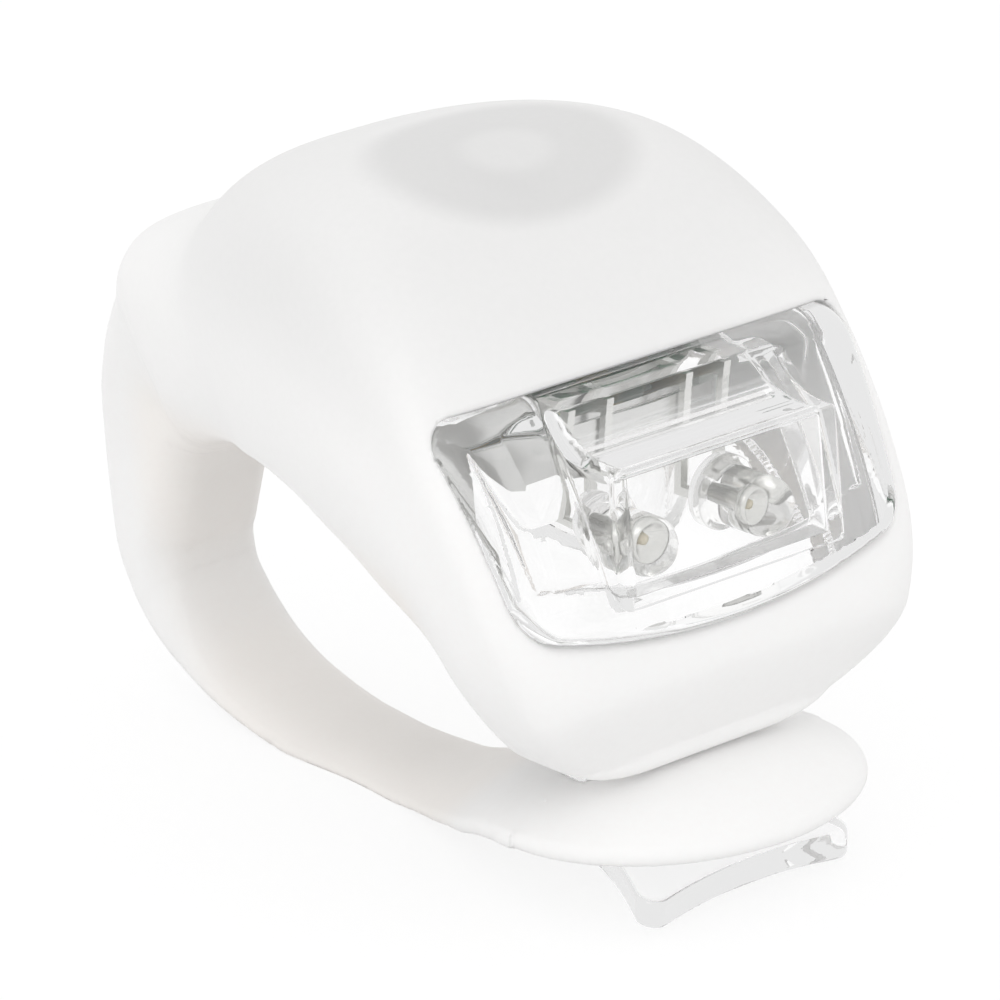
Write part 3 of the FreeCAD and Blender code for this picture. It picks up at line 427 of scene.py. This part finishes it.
def sleeve_moulding(x, y, z):
    """The sleeve with the strap's root, less the capsule's pocket, the window, the slot in the chin and a
    narrow gap over the tongue."""
    strap = strap_distance(x, y, z)
    outer = body_outer(x, y, z)
    outer = both(outer, np.where(y < BAR_Y, SKIRT_GAP - strap, -9.0), 0.1)
    whole = joined(outer, np.where(y > BAR_Y, strap, 9.0), ROOT_FILLET)
    pocket = np.maximum(body_distance(x, y, z) + SKIN, foot_distance(y, z, POCKET_DROP))
    pocket = both(pocket, fan_distance(y, z, CAPSULE_FRONT, CAPSULE_BACK), 0.4)
    pocket = both(pocket, chin_distance(x, z, SKIN), 0.3)
    nub = np.maximum(np.hypot(x, y - STACK_Y) - NUB_RADIUS, NUB_Z - z)
    pocket = both(pocket, -nub, 0.3)
    whole = both(whole, -pocket, 0.3)
    window = np.maximum(window_distance(x, z, 0), y - WINDOW_BACK)
    whole = both(whole, -window, 0.35)
    return np.maximum(whole, -slot_box(x, y, z, 2, 12, 3.5, 0.0))


# Surfaces from distances
def surface_net(distance, low, high, step):
    """One vertex in each cell the surface crosses, at the mean of its edge crossings, drawn onto the surface
    along the slope; one quad round each crossed grid edge. Returns vertices, quads and outward normals."""
    axes = [np.arange(a, b + step, step) for a, b in zip(low, high)]
    values = distance(axes[0][:, None, None], axes[1][None, :, None], axes[2][None, None, :])
    values = np.asarray(values, np.float32)
    cells = np.array(values.shape) - 1
    strides = np.array([cells[1] * cells[2], cells[2], 1])
    inside = values < 0
    sums = [np.zeros(cells.prod()) for _ in range(4)]
    rings = []
    for axis in range(3):
        first = tuple(slice(0, -1) if k == axis else slice(None) for k in range(3))
        second = tuple(slice(1, None) if k == axis else slice(None) for k in range(3))
        crossed = np.argwhere(inside[first] != inside[second])
        others = [k for k in range(3) if k != axis]
        crossed = crossed[np.all((crossed[:, others] > 0) & (crossed[:, others] < cells[others]), axis=1)]
        a = values[first][tuple(crossed.T)]
        b = values[second][tuple(crossed.T)]
        point = crossed.astype(float)
        point[:, axis] += a / (a - b)
        ring = []
        for shift_u, shift_v in ((0, 0), (1, 0), (1, 1), (0, 1)):
            cell = crossed.copy()
            cell[:, others[0]] -= shift_u
            cell[:, others[1]] -= shift_v
            number = cell @ strides
            ring.append(number)
            for k in range(3):
                sums[k] += np.bincount(number, point[:, k], len(sums[k]))
            sums[3] += np.bincount(number, minlength=len(sums[3]))
        ring = np.stack(ring, axis=1)
        flip = (a < 0) == (axis == 1)
        ring[flip] = ring[flip, ::-1]
        rings.append(ring)
    used = np.flatnonzero(sums[3])
    renumber = np.zeros(len(sums[3]), int)
    renumber[used] = np.arange(len(used))
    points = np.stack([sums[k][used] / sums[3][used] for k in range(3)], axis=1) * step + np.array(low)
    for _ in range(4):
        slope = distance_slope(distance, points)
        size = np.maximum((slope ** 2).sum(axis=1), 0.05)
        move = distance(*points.T) / size
        points = points - np.clip(move, -0.4 * step, 0.4 * step)[:, None] * slope
    slope = distance_slope(distance, points)
    normals = slope / np.maximum(np.linalg.norm(slope, axis=1), 1e-6)[:, None]
    return points, renumber[np.concatenate(rings)], normals


def distance_slope(distance, points, reach=0.03):
    """Slope of a distance at many points, by central differences."""
    columns = []
    for k in range(3):
        ahead = points.copy()
        behind = points.copy()
        ahead[:, k] += reach
        behind[:, k] -= reach
        columns.append((distance(*ahead.T) - distance(*behind.T)) / (2 * reach))
    return np.stack(columns, axis=1)


def grid_faces(rows, columns, wrap):
    """Quads of a grid of points numbered row by row; the columns may close into a ring."""
    last = columns if wrap else columns - 1
    r, c = np.meshgrid(np.arange(rows - 1), np.arange(last), indexing="ij")
    following = (c + 1) % columns
    quads = np.stack([r * columns + c, r * columns + following,
                      (r + 1) * columns + following, (r + 1) * columns + c], axis=-1)
    return quads.reshape(-1, 4)


def mesh_piece(name, points, faces, material, normals=None):
    """A mesh object from points in millimetres; faces are arrays with one row per face."""
    groups = faces if isinstance(faces, list) else [faces]
    corners = np.concatenate([group.ravel() for group in groups])
    sizes = np.concatenate([np.full(len(group), group.shape[1]) for group in groups])
    mesh = bpy.data.meshes.new(name)
    mesh.vertices.add(len(points))
    mesh.vertices.foreach_set("co", (points * MM).astype(np.float32).ravel())
    mesh.loops.add(len(corners))
    mesh.loops.foreach_set("vertex_index", corners.astype(np.int32))
    mesh.polygons.add(len(sizes))
    mesh.polygons.foreach_set("loop_start", (np.cumsum(sizes) - sizes).astype(np.int32))
    mesh.polygons.foreach_set("loop_total", sizes.astype(np.int32))
    mesh.polygons.foreach_set("use_smooth", np.ones(len(sizes), bool))
    mesh.update(calc_edges=True)
    mesh.validate()
    if normals is not None:
        mesh.normals_split_custom_set_from_vertices(normals)
    piece = bpy.data.objects.new(name, mesh)
    bpy.context.collection.objects.link(piece)
    mesh.materials.append(material)
    return piece


def revolved(profile, sides):
    """A profile of (distance along the axis, radius) turned about the axis and closed at both ends."""
    along, radius = np.asarray(profile, float).T
    turn = 2 * math.pi * np.arange(sides) / sides
    points = np.stack([radius[:, None] * np.cos(turn), along[:, None] + 0 * turn,
                       radius[:, None] * np.sin(turn)], axis=-1).reshape(-1, 3)
    first = np.arange(sides)
    ends = [first[None, :], (first + (len(along) - 1) * sides)[None, ::-1]]
    return points, [grid_faces(len(along), sides, True)[:, ::-1]] + ends


# Materials
def new_material(name):
    """An empty node material with its output."""
    material = bpy.data.materials.new(name)
    material.use_nodes = True
    tree = material.node_tree
    tree.nodes.clear()
    output = tree.nodes.new("ShaderNodeOutputMaterial")
    return material, tree, output


def add(tree, kind, **inputs):
    """A node with some of its sockets set, by name."""
    node = tree.nodes.new(kind)
    for key, value in inputs.items():
        node.inputs[key.replace("_", " ")].default_value = value
    return node


def fine_grain():
    """Shared grain: a small change of tone and a fine height, from object coordinates."""
    group = bpy.data.node_groups.new("fine_grain", "ShaderNodeTree")
    socket = group.interface.new_socket("Colour", in_out="INPUT", socket_type="NodeSocketColor")
    socket.default_value = (0.8, 0.8, 0.8, 1)
    for name, value in (("Per Metre", 3000.0), ("Change", 0.02)):
        socket = group.interface.new_socket(name, in_out="INPUT", socket_type="NodeSocketFloat")
        socket.default_value = value
    group.interface.new_socket("Colour", in_out="OUTPUT", socket_type="NodeSocketColor")
    group.interface.new_socket("Height", in_out="OUTPUT", socket_type="NodeSocketFloat")
    inputs = group.nodes.new("NodeGroupInput")
    outputs = group.nodes.new("NodeGroupOutput")
    place = group.nodes.new("ShaderNodeTexCoord")
    noise = add(group, "ShaderNodeTexNoise", Detail=2.0)
    group.links.new(place.outputs["Object"], noise.inputs["Vector"])
    group.links.new(inputs.outputs["Per Metre"], noise.inputs["Scale"])
    tone = math_node(group, "MULTIPLY_ADD", noise.outputs[0], inputs.outputs["Change"], 1.0)
    tint = group.nodes.new("ShaderNodeVectorMath")
    tint.operation = "SCALE"
    group.links.new(inputs.outputs["Colour"], tint.inputs[0])
    group.links.new(tone, tint.inputs["Scale"])
    group.links.new(tint.outputs[0], outputs.inputs["Colour"])
    group.links.new(noise.outputs[0], outputs.inputs["Height"])
    return group


def math_node(tree, operation, *values):
    """A maths node from numbers and outputs; returns its output."""
    node = tree.nodes.new("ShaderNodeMath")
    node.operation = operation
    for socket, value in zip(node.inputs, values):
        if isinstance(value, (int, float)):
            socket.default_value = value
        else:
            tree.links.new(value, socket)
    return node.outputs[0]


def soft_step(tree, value, start, end, size):
    """A smooth rise from 0 at the start to the given size at the end."""
    node = add(tree, "ShaderNodeMapRange")
    node.interpolation_type = "SMOOTHSTEP"
    node.inputs["From Min"].default_value = start
    node.inputs["From Max"].default_value = end
    node.inputs["To Min"].default_value = 0.0
    node.inputs["To Max"].default_value = size
    tree.links.new(value, node.inputs["Value"])
    return node.outputs[0]


def silicone_material():
    """Milky silicone. Its tone is 1 less a painted shade that rises with height over the roof, and less a
    second painted shade within an ellipsoid about the well, lightened again over the button's post: the
    shadowed hollow under the button, painted on the skin. It has a painted warm shade inside the strap's
    loop."""
    material, tree, output = new_material("milky_silicone")
    shader = add(tree, "ShaderNodeBsdfPrincipled", Roughness=SILICONE_ROUGHNESS, IOR=SILICONE_IOR)
    shader.inputs["Transmission Weight"].default_value = SILICONE_CLEAR
    place = tree.nodes.new("ShaderNodeTexCoord")
    parts = tree.nodes.new("ShaderNodeSeparateXYZ")
    tree.links.new(place.outputs["Object"], parts.inputs[0])
    height = parts.outputs["Z"]
    ahead = math_node(tree, "SUBTRACT", parts.outputs["Y"], WELL_Y * MM)
    ahead = math_node(tree, "MULTIPLY", ahead, WELL_SHORTER)
    across = math_node(tree, "MULTIPLY", parts.outputs["X"], parts.outputs["X"])
    below = math_node(tree, "SUBTRACT", height, WELL_Z * MM)
    below = math_node(tree, "MULTIPLY", below, WELL_FALL)
    square = math_node(tree, "MULTIPLY_ADD", below, below, across)
    square = math_node(tree, "MULTIPLY_ADD", ahead, ahead, square)
    reach = math_node(tree, "SQRT", square)
    # Painted shade in the colour: darker with height over the roof and in a ring about the well, less over
    # the post
    roof = soft_step(tree, height, ROOF_FROM * MM, ROOF_FULL * MM, ROOF_PAINTED_SHADE)
    well = soft_step(tree, reach, WELL_OUTER * MM, WELL_INNER * MM, WELL_PAINTED_SHADE)
    post = soft_step(tree, reach, POST_OUTER * MM, POST_INNER * MM, POST_LESS_SHADE)
    above = soft_step(tree, height, WELL_FROM_Z * MM, WELL_FULL_Z * MM, 1.0)
    painted_shade = math_node(tree, "MULTIPLY_ADD", math_node(tree, "SUBTRACT", well, post), above, roof)
    tone = math_node(tree, "SUBTRACT", 1.0, painted_shade)
    # Painted warm shade inside the strap's loop, where light comes through the silicone
    up = math_node(tree, "SUBTRACT", height, LOOP_Z * MM)
    along = math_node(tree, "SUBTRACT", parts.outputs["Y"], LOOP_Y * MM)
    loop = math_node(tree, "MULTIPLY_ADD", up, up, math_node(tree, "MULTIPLY", along, along))
    loop = math_node(tree, "SQRT", loop)
    within = soft_step(tree, loop, INSIDE_OUTER * MM, INSIDE_INNER * MM, 1.0)
    lower = soft_step(tree, height, INSIDE_TOP * MM, INSIDE_FULL * MM, 1.0)
    loop_shade = math_node(tree, "MULTIPLY", within, lower)
    blend = tree.nodes.new("ShaderNodeMix")
    blend.data_type = "RGBA"
    colour_in = [socket for socket in blend.inputs if socket.type == "RGBA"]
    colour_in[0].default_value = (*SILICONE_COLOUR, 1)
    colour_in[1].default_value = (*LOOP_SHADE_COLOUR, 1)
    tree.links.new(loop_shade, blend.inputs[0])
    colour = tree.nodes.new("ShaderNodeVectorMath")
    colour.operation = "SCALE"
    tree.links.new([socket for socket in blend.outputs if socket.type == "RGBA"][0], colour.inputs[0])
    tree.links.new(tone, colour.inputs["Scale"])
    grain = tree.nodes.new("ShaderNodeGroup")
    grain.node_tree = GRAIN
    grain.inputs["Per Metre"].default_value = SILICONE_GRAIN
    grain.inputs["Change"].default_value = GRAIN_CHANGE
    tree.links.new(colour.outputs[0], grain.inputs["Colour"])
    bump = add(tree, "ShaderNodeBump", Strength=0.25, Distance=0.00002)
    tree.links.new(grain.outputs["Height"], bump.inputs["Height"])
    tree.links.new(grain.outputs["Colour"], shader.inputs["Base Color"])
    tree.links.new(bump.outputs[0], shader.inputs["Normal"])
    path = tree.nodes.new("ShaderNodeLightPath")
    gap = add(tree, "ShaderNodeBsdfTransparent", Color=(1, 1, 1, 1))
    mix = tree.nodes.new("ShaderNodeMixShader")
    passes = math_node(tree, "MULTIPLY", path.outputs["Is Shadow Ray"], SILICONE_PASSES)
    tree.links.new(passes, mix.inputs[0])
    tree.links.new(shader.outputs[0], mix.inputs[1])
    tree.links.new(gap.outputs[0], mix.inputs[2])
    tree.links.new(mix.outputs[0], output.inputs[0])
    return material


def clear_material(name, tint, ior, roughness):
    """Clear moulded plastic. It lets a lamp's light through to what is behind it, and a path that has been
    turned many times inside it ends on a painted glow, a pale emission standing in for the light it would
    gather."""
    material, tree, output = new_material(name)
    shader = add(tree, "ShaderNodeBsdfPrincipled", Roughness=roughness, IOR=ior)
    shader.inputs["Base Color"].default_value = (*tint, 1)
    shader.inputs["Transmission Weight"].default_value = 1.0
    path = tree.nodes.new("ShaderNodeLightPath")
    gap = add(tree, "ShaderNodeBsdfTransparent", Color=SHADOW_PASSES)
    # Painted glow: a path turned too often, or through too many faces, ends on this white emission
    pale = add(tree, "ShaderNodeEmission", Color=(1, 1, 1, 1), Strength=LOST_PATH_GLOW)
    turned = math_node(tree, "GREATER_THAN", path.outputs["Glossy Depth"], MOST_TURNS - 0.5)
    deep = math_node(tree, "GREATER_THAN", path.outputs["Ray Depth"], MOST_FACES - 0.5)
    lost = math_node(tree, "MAXIMUM", turned, deep)
    ends = tree.nodes.new("ShaderNodeMixShader")
    tree.links.new(lost, ends.inputs[0])
    tree.links.new(shader.outputs[0], ends.inputs[1])
    tree.links.new(pale.outputs[0], ends.inputs[2])
    mix = tree.nodes.new("ShaderNodeMixShader")
    tree.links.new(path.outputs["Is Shadow Ray"], mix.inputs[0])
    tree.links.new(ends.outputs[0], mix.inputs[1])
    tree.links.new(gap.outputs[0], mix.inputs[2])
    tree.links.new(mix.outputs[0], output.inputs[0])
    return material


def plain_material(name, colour, roughness, metallic=0.0):
    """One flat colour, for the small pieces inside the capsule."""
    material, tree, output = new_material(name)
    shader = add(tree, "ShaderNodeBsdfPrincipled", Roughness=roughness, Metallic=metallic)
    shader.inputs["Base Color"].default_value = (*colour, 1)
    tree.links.new(shader.outputs[0], output.inputs[0])
    return material


GRAIN = fine_grain()
silicone = silicone_material()
clear_plastic = clear_material("clear_plastic", (1.0, 1.0, 1.0), 1.45, 0.01)
lamp_resin = clear_material("lamp_resin", (1.0, 1.0, 0.995), 1.52, 0.02)
node_materials = {
    "board_laminate": plain_material("board_laminate", (0.03, 0.22, 0.09), 0.4),
    "led_resin": lamp_resin,
    "tinned_wire": plain_material("tinned_wire", (0.72, 0.72, 0.70), 0.25, 1.0),
    "black_plastic": plain_material("black_plastic", (0.03, 0.03, 0.03), 0.5),
    "bright_steel": plain_material("bright_steel", (0.66, 0.66, 0.65), 0.25, 1.0),
    "ceramic": plain_material("ceramic", (0.06, 0.06, 0.07), 0.5),
    "cell_paste": plain_material("cell_paste", (0.08, 0.08, 0.08), 0.8),
    "gasket_plastic": plain_material("gasket_plastic", (0.75, 0.75, 0.72), 0.5),
    "spring_brass": plain_material("spring_brass", (0.80, 0.62, 0.30), 0.3, 1.0),
    "silicone": silicone,
    "clear_plastic": clear_plastic,
}
for row in frame["record"]["subparts"]:
    node = frame["nodes"][row["node"]]
    node.data.materials.clear()
    node.data.materials.append(node_materials[row["material_slot"]])


# Silicone moulding, parted level with the bend of the strap
def moulding_half(distance, bottom, top, keep_strap):
    """A surface net with its layer of points at the bend drawn into one level plane, cut there and capped.
    Both halves keep the whole surface's normals, so the cut doesn't show."""
    step = MOULDING_STEP
    low = (-16.0, -25.0, BEND_Z - step * (round((BEND_Z - bottom) / step) + 0.5))
    points, quads, normals = surface_net(distance, low, (16.0, 25.0, top), step)
    behind = points[:, 1] > BAR_Y + 5
    layer = behind & (np.abs(points[:, 2] - BEND_Z) < 0.5 * step)
    for _ in range(3):
        ring = points[layer]
        ring[:, 2] = BEND_Z
        slope = distance_slope(distance, ring)
        slope[:, 2] = 0
        size = np.maximum((slope ** 2).sum(axis=1), 0.05)
        points[layer] = ring - (distance(*ring.T) / size)[:, None] * slope
    points[layer, 2] = BEND_Z
    slope = distance_slope(distance, points[layer])
    normals[layer] = slope / np.linalg.norm(slope, axis=1)[:, None]
    below = behind & (points[:, 2] < BEND_Z - 1e-6)
    strap_side = part_of_strap(points, quads, below[quads].any(axis=1), layer)
    side = strap_side if keep_strap else ~strap_side
    return kept_points(points, normals, capped(quads[side], layer))


def part_of_strap(points, quads, seed, layer):
    """Quads that are joined to the underside of the bend without passing the bend's plane."""
    owner = np.zeros(len(points), bool)
    owner[quads[seed].ravel()] = True
    owner[layer] = False
    while True:
        count = owner.sum()
        touched = owner[quads].any(axis=1)
        owner[quads[touched].ravel()] = True
        owner[layer] = False
        if owner.sum() == count:
            return owner[quads].any(axis=1)


def capped(quads, layer):
    """The quads with a flat cap over their open edge, as one ring of corners."""
    edges = np.concatenate([quads[:, [k, (k + 1) % 4]] for k in range(4)])
    back = {tuple(edge) for edge in edges[:, ::-1].tolist()}
    open_edges = {a: b for a, b in edges.tolist() if (a, b) not in back and layer[a] and layer[b]}
    start = next(iter(open_edges))
    ring = [start]
    while open_edges[ring[-1]] != start:
        ring.append(open_edges[ring[-1]])
    return [quads, np.array([ring[::-1]])]


def kept_points(points, normals, faces):
    """Only the points that the faces use, with the faces renumbered."""
    used = np.unique(np.concatenate([group.ravel() for group in faces]))
    renumber = np.zeros(len(points), int)
    renumber[used] = np.arange(len(used))
    return points[used], [renumber[group] for group in faces], normals[used]


p, f, n = moulding_half(sleeve_moulding, 5.0, 36.5, False)
sleeve_skin = mesh_piece("sleeve_skin", p, f, silicone, n)
p, f, n = moulding_half(strap_moulding, -1.0, 17.2, True)
strap_band = mesh_piece("strap_band", p, f, silicone, n)
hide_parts("silicone_sleeve", "button_pad")
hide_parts("silicone_strap")
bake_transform(sleeve_skin)
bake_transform(strap_band)


# Clear capsule: shell, lens and raised block
def block_outline(inset):
    """Side view of the lamp block, with a sagging top face."""
    top = np.array((BLOCK_TOP[0] + 3 * inset, BLOCK_TOP[1] - inset))
    brow = np.array((BLOCK_BROW[0] + inset, BLOCK_BROW[1] - 0.6 * inset))
    chin = (BLOCK_CHIN[0] + inset, BLOCK_CHIN[1] + inset / 2)
    t = np.linspace(0, 1, 13)[:, None]
    sag = np.array((0.46, -0.89)) * 0.7
    curve = top + (brow - top) * t + 4 * t * (1 - t) * sag
    back = BLOCK_TOP[0] + 3.9
    return [tuple(point) for point in curve] + [chin, (back, chin[1]), (back, top[1])]


def block_distance(x, y, z, inset, edge):
    """Distance to the lamp block, or to its hollow when drawn in by an inset."""
    return both(outline_distance(y, z, block_outline(inset)), np.abs(x) - BLOCK_HALF + inset, edge)


def capsule_distance(x, y, z):
    """Thin shell under the silicone, lens slab in the window and hollow lamp block."""
    body = body_distance(x, y, z)
    _, radius = polar(y, z)
    inset = SKIN + FIT
    ends = fan_distance(y, z, CAPSULE_FRONT - CAPSULE_GAP, CAPSULE_BACK + CAPSULE_GAP)
    shell = np.maximum(body + inset, ends)
    shell = np.maximum(shell, chin_distance(x, z, inset))
    ends = fan_distance(y, z, CAPSULE_FRONT - HOLLOW_FRONT, CAPSULE_BACK + HOLLOW_BACK)
    hollow = np.maximum(body + inset + SHELL, ends)
    hollow = both(hollow, chin_distance(x, z, inset + SHELL), 0.3)
    outline = np.maximum(window_distance(x, z, FIT), y - WINDOW_BACK)
    slab = both(body - LENS_PROUD, outline, 0.8)
    facets = FACET_SLOPE * np.abs(z - FACET_Z) * np.clip((np.abs(x) - BLOCK_HALF) / 2, 0, 1)
    hollow_front = body + LENS_WALL - LENS_PROUD + facets
    chamber = both(hollow_front, np.maximum(window_distance(x, z, LENS_RIM), y - WINDOW_BACK), 0.9)
    block = block_distance(x, y, z, 0, 0.5)
    whole = np.minimum(shell, joined(slab, block, 0.3))
    hollow = joined(hollow, joined(chamber, block_distance(x, y, z, BLOCK_WALL, 0.3), 0.4), 0.5)
    whole = both(whole, -hollow, 0.25)
    bore = np.maximum(np.hypot(x, y - STACK_Y) - BORE_RADIUS, BORE_Z - z)
    whole = np.maximum(whole, -bore)
    return np.maximum(whole, COVER_INNER - radius)


p, f, n = surface_net(capsule_distance, (-15.0, -21.5, 7.0), (15.0, 13.0, 34.5), CLEAR_STEP)
lens = mesh_piece("lens_capsule", p, f, clear_plastic, n)
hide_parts("lens_housing")
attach(lens, "light")


# Battery cover and hook
def cover_distance(x, y, z):
    """Curved plate under the cell, its seat ring, and the hook with a flared lip."""
    body = body_distance(x, y, z)
    _, radius = polar(y, z)
    inset = SKIN + FIT
    ends = fan_distance(y, z, CAPSULE_FRONT - CAPSULE_GAP, CAPSULE_BACK + CAPSULE_GAP)
    plate = np.maximum(body + inset, ends)
    plate = np.maximum(plate, chin_distance(x, z, inset))
    plate = np.maximum(plate, np.maximum(radius - COVER_INNER, COVER_OUTER - radius))
    ring = np.hypot(x, y - STACK_Y)
    seat = np.maximum(ring - SEAT_OUTER, SEAT_INNER - ring)
    seat = np.maximum(seat, np.maximum(z - SEAT_TOP, COVER_OUTER + 0.2 - radius))
    seat = np.maximum(seat, body + inset + SHELL)
    stem_front = SLOT_Y - STEM_THICK / 2
    stem_back = SLOT_Y + STEM_THICK / 2
    side = [(stem_front, STEM_TOP), (stem_front, 3.9), (stem_front - 0.15, 3.55), (stem_front - 0.5, 3.4),
            (HOOK_TIP, 1.7), (HOOK_TIP, 0.2), (stem_front - 0.8, 1.9), (stem_back - 1.1, 2.25),
            (stem_back - 0.45, 2.8), (stem_back - 0.1, 3.2), (stem_back, 3.6), (stem_back, STEM_TOP)]
    grow = np.clip((stem_front - 0.8 - y) / (stem_front - 0.8 - HOOK_TIP - 1.2), 0, 1)
    half = STEM_HALF + (HOOK_HALF - STEM_HALF) * grow ** 1.6
    front = HOOK_TIP + 0.8 * np.clip(1 - (x / HOOK_HALF) ** 2, 0, 1) - y
    plan = both(np.abs(x) - half, front, 1.2)
    hook = both(outline_distance(y, z, side), plan, 0.3)
    return np.minimum(np.minimum(plate, seat), hook)


p, f, n = surface_net(cover_distance, (-14.5, -22.0, -0.5), (14.5, 11.5, 21.5), CLEAR_STEP)
cover = mesh_piece("battery_cover_hook", p, f, clear_plastic, n)
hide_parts("battery_cover")
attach(cover, "light")

# Lamps
for name, side in (("led_left", -1), ("led_right", 1)):
    foot = LAMP_TIP + LAMP_LENGTH
    dome = [(LAMP_TIP + LAMP_RADIUS * (1 - math.cos(a)), LAMP_RADIUS * math.sin(a))
            for a in np.linspace(0.02, math.pi / 2, 24)]
    rim = LAMP_FLANGE - 0.08
    profile = dome + [(foot - 1.0, LAMP_RADIUS), (foot - 0.9, LAMP_RADIUS + 0.08), (foot - 0.9, rim),
                      (foot - 0.82, LAMP_FLANGE), (foot - 0.08, LAMP_FLANGE), (foot, rim), (foot, 0.02)]
    p, f = revolved(profile, 64)
    lamp = mesh_piece(name + "_resin", p + np.array((side * LAMP_X, 0, LAMP_Z)), f, lamp_resin)
    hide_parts(name)
    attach(lamp, "light")


def lamp_insides(name, side):
    """Lead frame in a lamp: a cup on its post, the flag on the other post, and the pale chip in the cup."""
    middle = side * LAMP_X
    foot = LAMP_TIP + LAMP_LENGTH - 0.2
    cup = [(CUP_Y + 0.35, 0.02), (CUP_Y + 0.35, 0.3), (CUP_Y, 0.55), (CUP_Y, 0.64), (CUP_Y + 0.7, 0.58),
           (CUP_Y + 0.95, 0.35), (foot, 0.3), (foot, 0.02)]
    chip = [(CUP_Y + 0.12, 0.02), (CUP_Y + 0.16, 0.15), (CUP_Y + 0.34, 0.17), (CUP_Y + 0.34, 0.02)]
    flag = [(CUP_Y + 0.1, 0.02), (CUP_Y + 0.1, 0.26), (CUP_Y + 0.9, 0.34), (CUP_Y + 1.3, 0.24), (foot, 0.24),
            (foot, 0.02)]
    for part, profile, x, material, slot in (
            ("cup", cup, middle - 0.25 * side, node_materials["tinned_wire"], "tinned_wire"),
            ("flag", flag, middle + 0.78 * side, node_materials["tinned_wire"], "tinned_wire"),
            ("chip", chip, middle - 0.25 * side, phosphor, "led_resin")):
        points, faces = revolved(profile, 24)
        piece = mesh_piece(name + "_" + part, points + np.array((x, 0, LAMP_Z)), faces, material)
        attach(piece, "light")


phosphor = plain_material("phosphor", (0.88, 0.80, 0.62), 0.6)
for name, side in (("led_left", -1), ("led_right", 1)):
    lamp_insides(name, side)


# Stage
def seen_directly(tree):
    """1 for rays from the camera, and for those that gloss and clear plastic send on; 0 for light on matt
    faces: the largest of the three ray masks."""
    path = tree.nodes.new("ShaderNodeLightPath")
    seen = math_node(tree, "MAXIMUM", path.outputs["Is Camera Ray"], path.outputs["Is Glossy Ray"])
    return math_node(tree, "MAXIMUM", seen, path.outputs["Is Transmission Ray"])


def floor_material():
    """Pale floor that reads white to the camera and keeps the shadow under the light."""
    material, tree, output = new_material("pale_floor")
    matt = add(tree, "ShaderNodeBsdfDiffuse", Color=(0.8, 0.8, 0.8, 1))
    glow = add(tree, "ShaderNodeEmission", Strength=FLOOR_GLOW)
    share = math_node(tree, "MULTIPLY", seen_directly(tree), FLOOR_SHARE)
    mix = tree.nodes.new("ShaderNodeMixShader")
    tree.links.new(share, mix.inputs[0])
    tree.links.new(matt.outputs[0], mix.inputs[1])
    tree.links.new(glow.outputs[0], mix.inputs[2])
    tree.links.new(mix.outputs[0], output.inputs[0])
    return material


floor_corners = [(-FLOOR_REACH, -FLOOR_REACH, FLOOR_Z), (FLOOR_REACH, -FLOOR_REACH, FLOOR_Z),
                 (FLOOR_REACH, FLOOR_REACH, FLOOR_Z), (-FLOOR_REACH, FLOOR_REACH, FLOOR_Z)]
floor_points = np.array(floor_corners, float)
floor = mesh_piece("floor", floor_points, np.array([[0, 1, 2, 3]]), floor_material())

world = bpy.data.worlds.new("studio")
bpy.context.scene.world = world
world.use_nodes = True
tree = world.node_tree
tree.nodes.clear()
output = tree.nodes.new("ShaderNodeOutputWorld")
soft = add(tree, "ShaderNodeBackground", Color=(1, 1, 1, 1))
direction = tree.nodes.new("ShaderNodeTexCoord")
parts = tree.nodes.new("ShaderNodeSeparateXYZ")
tree.links.new(direction.outputs["Generated"], parts.inputs[0])
side_light = add(tree, "ShaderNodeMapRange")
side_light.inputs["From Min"].default_value = -1.0
side_light.inputs["From Max"].default_value = 1.0
side_light.inputs["To Min"].default_value = SOFT_LEFT
side_light.inputs["To Max"].default_value = SOFT_RIGHT
tree.links.new(parts.outputs["X"], side_light.inputs["Value"])
tree.links.new(side_light.outputs[0], soft.inputs["Strength"])
white = add(tree, "ShaderNodeBackground", Color=(1, 1, 1, 1), Strength=1.0)
mix = tree.nodes.new("ShaderNodeMixShader")
tree.links.new(seen_directly(tree), mix.inputs[0])
tree.links.new(soft.outputs[0], mix.inputs[1])
tree.links.new(white.outputs[0], mix.inputs[2])
tree.links.new(mix.outputs[0], output.inputs[0])


def soft_lamp(name, place, aim, size, power):
    """A square studio lamp at a place in millimetres, facing a point."""
    light = bpy.data.lights.new(name, "AREA")
    light.size = size * MM
    light.energy = power
    lamp = bpy.data.objects.new(name, light)
    bpy.context.collection.objects.link(lamp)
    back = np.array(place, float) - np.array(aim, float)
    lamp.location = np.array(place) * MM
    lamp.rotation_mode = "QUATERNION"
    lamp.rotation_quaternion = Vector(-back).to_track_quat("-Z", "Y")
    return lamp


soft_lamp("key", (-150, -220, 260), (0, 0, 15), 180, 0.1)

# Camera at the photograph's angle
AZIMUTH = math.radians(-43.0)
ELEVATION = math.radians(20.8)
CAMERA_AIM = (0, -2.45, 15.55)
CAMERA_DISTANCE = 380.0
CAMERA_ASIDE = 0.394
SENSOR_WIDTH = 36.0
FOCAL_LENGTH = 277.8
back = np.array((math.sin(AZIMUTH) * math.cos(ELEVATION), -math.cos(AZIMUTH) * math.cos(ELEVATION),
                 math.sin(ELEVATION)))
right = np.array((math.cos(AZIMUTH), math.sin(AZIMUTH), 0))
camera_data = bpy.data.cameras.new("camera")
camera_data.sensor_width = SENSOR_WIDTH
camera_data.lens = FOCAL_LENGTH
camera = bpy.data.objects.new("camera", camera_data)
bpy.context.collection.objects.link(camera)
place = np.array(CAMERA_AIM) + CAMERA_DISTANCE * back + CAMERA_ASIDE * right
camera.location = place * MM
camera.rotation_mode = "XYZ"
camera.rotation_euler = (math.pi / 2 - ELEVATION, 0, AZIMUTH)
camera_data.clip_start = 0.01
camera_data.clip_end = 5.0
bpy.context.scene.camera = camera

bpy.context.scene.view_settings.view_transform = "Standard"
